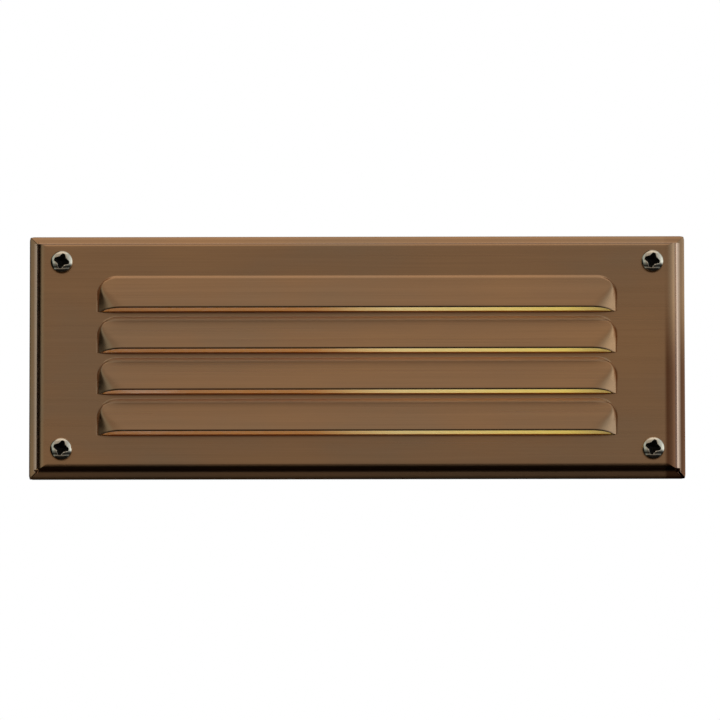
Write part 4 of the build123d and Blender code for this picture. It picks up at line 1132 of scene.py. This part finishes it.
# ==== retaining washers ====
# A small steel washer snapped into the groove of each face screw behind the plate, so that the screws stay
# with the plate when it comes off. Plain bright zinc.
def zinc_plate(name, dull, bright, roughness):
    """Thin plating with a faint crystalline bloom, in the tones given."""
    made = material(name)
    tree = made.node_tree
    bloom = scaled_noise(tree, 700.0, 6.0)
    tone = ramp_node(tree, bloom, [(0.35, dull), (0.65, bright)])
    rough = smooth_step(tree, bloom, 0.3, 0.7, roughness, roughness + 0.12)
    normal = relief(tree, scaled_noise(tree, 5000.0, 2.0), 0.12, 0.00003)
    return shaded(made, {"Base Color": tone, "Metallic": 1.0, "Roughness": rough, "Normal": normal})


washer_zinc = zinc_plate("washer_zinc", (0.50, 0.50, 0.49), (0.70, 0.70, 0.69), 0.28)
for corner in CORNERS:
    cad_piece(
        "snap_washer_" + corner,
        "retaining_washer_" + corner,
        "washer_" + corner,
        "washer_steel",
        washer_zinc,
    )


# ==== housing ====
# A die-cast aluminium box with a mortar rib round it, let into the brickwork. Its wiring entries, fixing
# holes and bosses are part of the casting, and it is powder coated with a fine dark texture.
FINE_SHARE = 0.6


def speckled_height():
    """The height of a textured surface: a coarse skin with fine grains on it, and a mask of the grains."""
    inputs = {"Coarse": 700.0, "Fine": 2600.0}
    tree, given, output = group_tree("speckled_height", inputs, ["Height", "Grains"])
    heights = []
    for name, detail in (("Coarse", 2.0), ("Fine", 4.0)):
        scale = add_node(tree, "ShaderNodeCombineXYZ", {axis: given[name] for axis in "XYZ"}).outputs[0]
        heights.append(scaled_noise(tree, scale, detail))
    height = calculate(tree, "ADD", heights[0], calculate(tree, "MULTIPLY", heights[1], FINE_SHARE))
    tree.links.new(height, output.inputs["Height"])
    tree.links.new(smooth_step(tree, heights[1], 0.45, 0.65), output.inputs["Grains"])
    return tree


speckle_group = speckled_height()


def textured(name, dark, light, roughness, coarse, fine, depth, coat=0.0):
    """A matt finish with a fine relief: powder coat, moulded plastic or rubber, by its values."""
    made = material(name)
    tree = made.node_tree
    speckle = place_group(tree, speckle_group, {"Coarse": coarse, "Fine": fine})
    cloud = scaled_noise(tree, 60.0, 4.0)
    pale_share = calculate(tree, "MULTIPLY", calculate(tree, "ADD", speckle["Grains"], cloud), 0.6)
    tone = ramp_node(tree, pale_share, [(0.2, dark), (0.85, light)])
    rough = smooth_step(tree, cloud, 0.3, 0.7, roughness - 0.06, roughness + 0.06)
    normal = relief(tree, speckle["Height"], 0.5, depth)
    return shaded(made, {"Base Color": tone, "Roughness": rough, "Normal": normal, "Coat Weight": coat})


powder_coat = textured(
    "powder_coat",
    dark=(0.016, 0.016, 0.018),
    light=(0.040, 0.040, 0.043),
    roughness=0.52,
    coarse=900.0,
    fine=2600.0,
    depth=0.00008,
)
cad_piece("cast_housing", "housing", "housing", "housing_cast", powder_coat, sharp_angle=30)


# ==== gaskets ====
# Die-cut closed-cell sponge: one lies on the housing's rim under the plate, a thinner one is between the pane
# and the plate. The cut cells show on their edges.
sponge = textured(
    "sponge_rubber",
    dark=(0.010, 0.010, 0.010),
    light=(0.035, 0.035, 0.034),
    roughness=0.80,
    coarse=1500.0,
    fine=4200.0,
    depth=0.00012,
)
cad_piece("rim_seal", "rim_gasket", "housing", "gasket_rubber", sponge)
cad_piece("pane_seal", "lens_gasket", "plate", "gasket_rubber", sponge)


# ==== pane ====
# A strip of pressed glass, frosted. Its glow is painted on as emission, in place of the lamp's light through
# it: golden in front of the lamp, fading to a dull orange towards the wiring end.
# Places along X in metres, each with the linear colour of the painted glow there.
PAINTED_GLOW = (
    (-0.097, (0.11, 0.042, 0.009)),
    (-0.015, (0.16, 0.065, 0.013)),
    (0.015, (0.27, 0.20, 0.08)),
    (0.075, (0.27, 0.20, 0.04)),
    (0.097, (0.08, 0.045, 0.02)),
)


def frosted_pane():
    """Frosted glass with a painted glow, as emission, that changes along X."""
    made = material("frosted_pane")
    tree = made.node_tree
    first, last = PAINTED_GLOW[0][0], PAINTED_GLOW[-1][0]
    limits = {"Value": object_axes(tree)["X"], "From Min": first, "From Max": last}
    share = add_node(tree, "ShaderNodeMapRange", limits).outputs[0]
    glow = ramp_node(tree, share, [((x - first) / (last - first), color) for x, color in PAINTED_GLOW])
    frost = scaled_noise(tree, 3200.0, 4.0)
    tone = ramp_node(tree, frost, [(0.3, (0.70, 0.72, 0.68)), (0.7, (0.84, 0.86, 0.82))])
    rough = smooth_step(tree, frost, 0.3, 0.7, 0.34, 0.50)
    normal = relief(tree, frost, 0.3, 0.00004)
    glass = {"Base Color": tone, "Roughness": rough, "Normal": normal, "IOR": 1.52}
    # Painted glow: emission stands in for the lamp's light coming through the pane.
    lit = {"Transmission Weight": 0.55, "Emission Color": glow, "Emission Strength": 1.0}
    return shaded(made, {**glass, **lit})


cad_piece("glass_pane", "lens_glass", "plate", "lens_glass", frosted_pane())


# ==== pane clips, studs and nuts ====
# Four spring steel clips press the pane against its seal. Each sits on a threaded stud that is welded to the
# back of the plate, under a small nut.
clip_paint = zinc_plate("clip_zinc", (0.52, 0.52, 0.50), (0.72, 0.72, 0.70), 0.24)
fastener_zinc = zinc_plate("fastener_zinc", (0.56, 0.53, 0.44), (0.76, 0.73, 0.62), 0.26)
stud_low, stud_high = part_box("clip_studs")
STUD_RADIUS = 0.00142
STUD_PITCH = 0.0005
STUD_PLAIN_FOOT = 0.0006
stud_x, stud_z = stud_high.x - STUD_RADIUS, stud_high.z - STUD_RADIUS
stud_start = stud_low.y + STUD_PLAIN_FOOT
cad_piece("pane_clips", "lens_clips", "plate", "clip_steel", clip_paint)
threaded_piece(
    "weld_studs",
    "clip_studs",
    "plate",
    "zinc_fastener",
    fastener_zinc,
    [(side_x * stud_x, stud_start, side_z * stud_z) for side_x, side_z in CORNERS.values()],
    STUD_RADIUS,
    stud_high.y - stud_start - STUD_PITCH,
    STUD_PITCH,
)
cad_piece("stud_nuts", "clip_nuts", "plate", "zinc_fastener", fastener_zinc)


# ==== reflector ====
# One folded trough of bright anodised aluminium behind the lamp, held by two screws on pillars of the
# housing.
def bright_aluminium():
    """Rolled and anodised: a clear mirror with faint rolling lines."""
    made = material("bright_aluminium")
    tree = made.node_tree
    grain = place_group(tree, grain_group, {"Across": 3500.0, "Along": 25.0})
    tone = ramp_node(tree, grain["Streak"], [(0.3, (0.80, 0.80, 0.80)), (0.7, (0.91, 0.91, 0.90))])
    rough = smooth_step(tree, grain["Streak"], 0.3, 0.7, 0.10, 0.20)
    normal = relief(tree, grain["Grain"], 0.10, 0.00002)
    return shaded(made, {"Base Color": tone, "Metallic": 1.0, "Roughness": rough, "Normal": normal})


cad_piece("trough_reflector", "reflector", "housing", "reflector_aluminium", bright_aluminium())


# ==== fixing screws ====
# Two pan head screws hold the reflector, two hold the lampholder's bracket through it, and one holds the
# terminal block. All thread into pillars cast with the housing.
FIXING_RADIUS = 0.0014
FIXING_PITCH = 0.0005
TROUGH_THREAD_FROM = 0.0398
BLOCK_THREAD_FROM = 0.0516
for name, node, thread_from in (
    ("reflector_fixings", "reflector_screws", TROUGH_THREAD_FROM),
    ("bracket_fixings", "bracket_screws", TROUGH_THREAD_FROM),
    ("block_fixing", "terminal_block_screw", BLOCK_THREAD_FROM),
):
    low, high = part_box(node)
    middle_x = (low.x + high.x) / 2
    head_radius = (high.x - low.x) / 2
    offsets = {round(high.z - head_radius, 6), round(low.z + head_radius, 6)}
    threaded_piece(
        name,
        node,
        "housing",
        "zinc_fastener",
        fastener_zinc,
        [(middle_x, thread_from, z) for z in sorted(offsets)],
        FIXING_RADIUS,
        high.y - thread_from - FIXING_PITCH,
        FIXING_PITCH,
    )


# ==== lampholder and its bracket ====
# A bent steel bracket stands on the reflector and the moulded wedge-base lampholder snaps into its window,
# with two sprung brass contacts inside.
ivory = textured(
    "ivory_moulding",
    dark=(0.60, 0.56, 0.46),
    light=(0.74, 0.70, 0.60),
    roughness=0.42,
    coarse=500.0,
    fine=2400.0,
    depth=0.00004,
    coat=0.1,
)
sprung_brass = zinc_plate("sprung_brass", (0.62, 0.47, 0.24), (0.80, 0.64, 0.36), 0.24)
cad_piece("bent_bracket", "lampholder_bracket", "housing", "bracket_steel", clip_paint)
cad_piece("wedge_lampholder", "lampholder", "housing", "holder_plastic", ivory)
cad_piece("holder_contacts", "lampholder_contacts", "housing", "contact_brass", sprung_brass)


# ==== lamp ====
# A clear wedge-base lamp: blown glass pinched flat at its foot, two support wires that come out of the pinch
# and fold back on it, and a coiled tungsten filament between them. It pulls straight out of its holder.
FILAMENT_COIL = 0.00046
FILAMENT_WIRE = 0.00009
FILAMENT_TURNS = 15.0
FILAMENT_TAIL = 0.00018
FILAMENT_HEAT = (0.0028, 0.0012)


def clear_glass():
    """Thin clear glass with the slight unevenness of blowing."""
    made = material("clear_glass")
    tree = made.node_tree
    waves = scaled_noise(tree, 160.0, 2.0)
    rough = smooth_step(tree, waves, 0.3, 0.7, 0.0, 0.03)
    tone = ramp_node(tree, waves, [(0.3, (0.97, 0.98, 0.97)), (0.7, (1.0, 1.0, 1.0))])
    normal = relief(tree, waves, 0.15, 0.0001)
    glass = {"Base Color": tone, "Roughness": rough, "Normal": normal}
    return shaded(made, {**glass, "IOR": 1.47, "Transmission Weight": 1.0})


def hot_tungsten():
    """The lit filament, hottest in the middle of its length."""
    made = material("hot_tungsten")
    tree = made.node_tree
    off_middle = calculate(tree, "ABSOLUTE", object_axes(tree)["Z"], 0.0)
    heat = smooth_step(tree, off_middle, *FILAMENT_HEAT)
    glow = ramp_node(tree, heat, [(0.0, (0.55, 0.16, 0.03)), (1.0, (1.0, 0.72, 0.34))])
    wire = {"Base Color": (0.45, 0.42, 0.40, 1), "Metallic": 1.0, "Roughness": 0.4}
    return shaded(made, {**wire, "Emission Color": glow, "Emission Strength": 6.0})


filament_low, filament_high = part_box("lamp_filament")
filament_middle = (filament_low + filament_high) / 2
filament_foot = (filament_middle.x, filament_middle.y, filament_low.z + FILAMENT_TAIL)
filament_mesh = bpy.data.meshes.new("coiled_filament")
filament_mesh.from_pydata([filament_foot], [], [])
filament_mesh.attributes.new("thread_start", "FLOAT", "POINT").data[0].value = 1.0
filament = link("coiled_filament", filament_mesh)
run_tree(filament, winding, {
    "Radius": FILAMENT_COIL,
    "Wire": FILAMENT_WIRE,
    "Turns": FILAMENT_TURNS,
    "Length": filament_high.z - filament_low.z - 2 * FILAMENT_TAIL,
    "Sides": 6,
    "Axis": (0.0, 0.0, 0.0),
    "Metal": hot_tungsten(),
})
plain_mesh(filament, sharp_angle=60)
declare(filament, "lamp", "filament_tungsten", "lamp_filament")

wire_metal = zinc_plate("nickel_wire", (0.50, 0.48, 0.45), (0.70, 0.68, 0.64), 0.20)
cad_piece("blown_bulb", "lamp_bulb", "lamp", "bulb_glass", clear_glass(), sharp_angle=50)
cad_piece("support_wires", "lamp_supports", "lamp", "lamp_wire", wire_metal)
cad_piece("folded_wires", "lamp_base_wires", "lamp", "lamp_wire", wire_metal, sharp_angle=50)


# ==== terminal block and leads ====
# A two-way moulded block with brass sleeves and clamp screws, fixed in the wiring end. Two insulated leads
# run from it to the back of the lampholder, under the reflector's edge.
LEAD_RADIUS = 0.0011
LEAD_FROM_AXIS = 0.00185
HOLDER_RUN = (0.0118, 0.004, -0.008)
HOLDER_DEPTH = 0.0212
HOLDER_SPREAD = 0.003
BLOCK_RUN = (-0.032, -0.038, -0.044)
BLOCK_DEPTH = 0.046
BLOCK_SPREAD = 0.007
# For each lead, its side of the holder, its finish, and its sheath's dark and light tones.
LEADS = {
    "supply": (1, "lead_red", (0.34, 0.030, 0.022), (0.46, 0.050, 0.035)),
    "return": (-1, "lead_black", (0.012, 0.012, 0.012), (0.03, 0.03, 0.03)),
}
natural_nylon = textured(
    "natural_nylon",
    dark=(0.66, 0.66, 0.60),
    light=(0.80, 0.80, 0.75),
    roughness=0.40,
    coarse=400.0,
    fine=2000.0,
    depth=0.00004,
)
cad_piece("two_way_block", "terminal_block", "housing", "terminal_plastic", natural_nylon)
cad_piece("block_sleeves", "terminal_sleeves", "housing", "contact_brass", sprung_brass)
cad_piece("clamp_screws", "terminal_screws", "housing", "zinc_fastener", fastener_zinc)


def lead_tube(name, side, paint):
    """A round insulated wire from the lampholder to its terminal, along one smooth curve."""
    start_y = HOLDER_DEPTH + side * LEAD_FROM_AXIS
    route = [(x, start_y, side * HOLDER_SPREAD) for x in HOLDER_RUN]
    route += [(x, BLOCK_DEPTH, side * BLOCK_SPREAD) for x in BLOCK_RUN]
    curve = bpy.data.curves.new(name, "CURVE")
    curve.dimensions = "3D"
    curve.bevel_depth = LEAD_RADIUS
    curve.bevel_resolution = 6
    curve.resolution_u = 10
    curve.use_fill_caps = True
    spline = curve.splines.new("NURBS")
    spline.points.add(len(route) - 1)
    for point, place in zip(spline.points, route):
        point.co = (*place, 1.0)
    spline.order_u = 3
    spline.use_endpoint_u = True
    made = bpy.data.objects.new(name, curve)
    scene.collection.objects.link(made)
    mesh = evaluated_mesh(made)
    bpy.data.objects.remove(made)
    mesh.materials.clear()
    smooth(mesh, 50)
    return link(name, mesh, paint)


for name, (side, finish, dark, light) in LEADS.items():
    sheath = textured(
        "sheath_" + name,
        dark,
        light,
        roughness=0.36,
        coarse=500.0,
        fine=2200.0,
        depth=0.00003,
        coat=0.15,
    )
    declare(lead_tube("lead_tube_" + name, side, sheath), "housing", finish, "lead_" + name)


# ==== entry plug ====
# A moulded screw-in plug with a slotted head closes the side entry. A rubber ring under its head seals it.
plug_plastic = textured(
    "plug_moulding",
    dark=(0.020, 0.020, 0.021),
    light=(0.045, 0.045, 0.047),
    roughness=0.46,
    coarse=600.0,
    fine=2200.0,
    depth=0.00006,
)
ring_rubber = textured(
    "ring_rubber",
    dark=(0.010, 0.010, 0.010),
    light=(0.022, 0.022, 0.022),
    roughness=0.45,
    coarse=500.0,
    fine=1800.0,
    depth=0.00003,
)
cad_piece("slotted_plug", "entry_plug", "plug", "plug_plastic", plug_plastic)
cad_piece("sealing_ring", "plug_o_ring", "plug_ring", "o_ring_rubber", ring_rubber, sharp_angle=60)
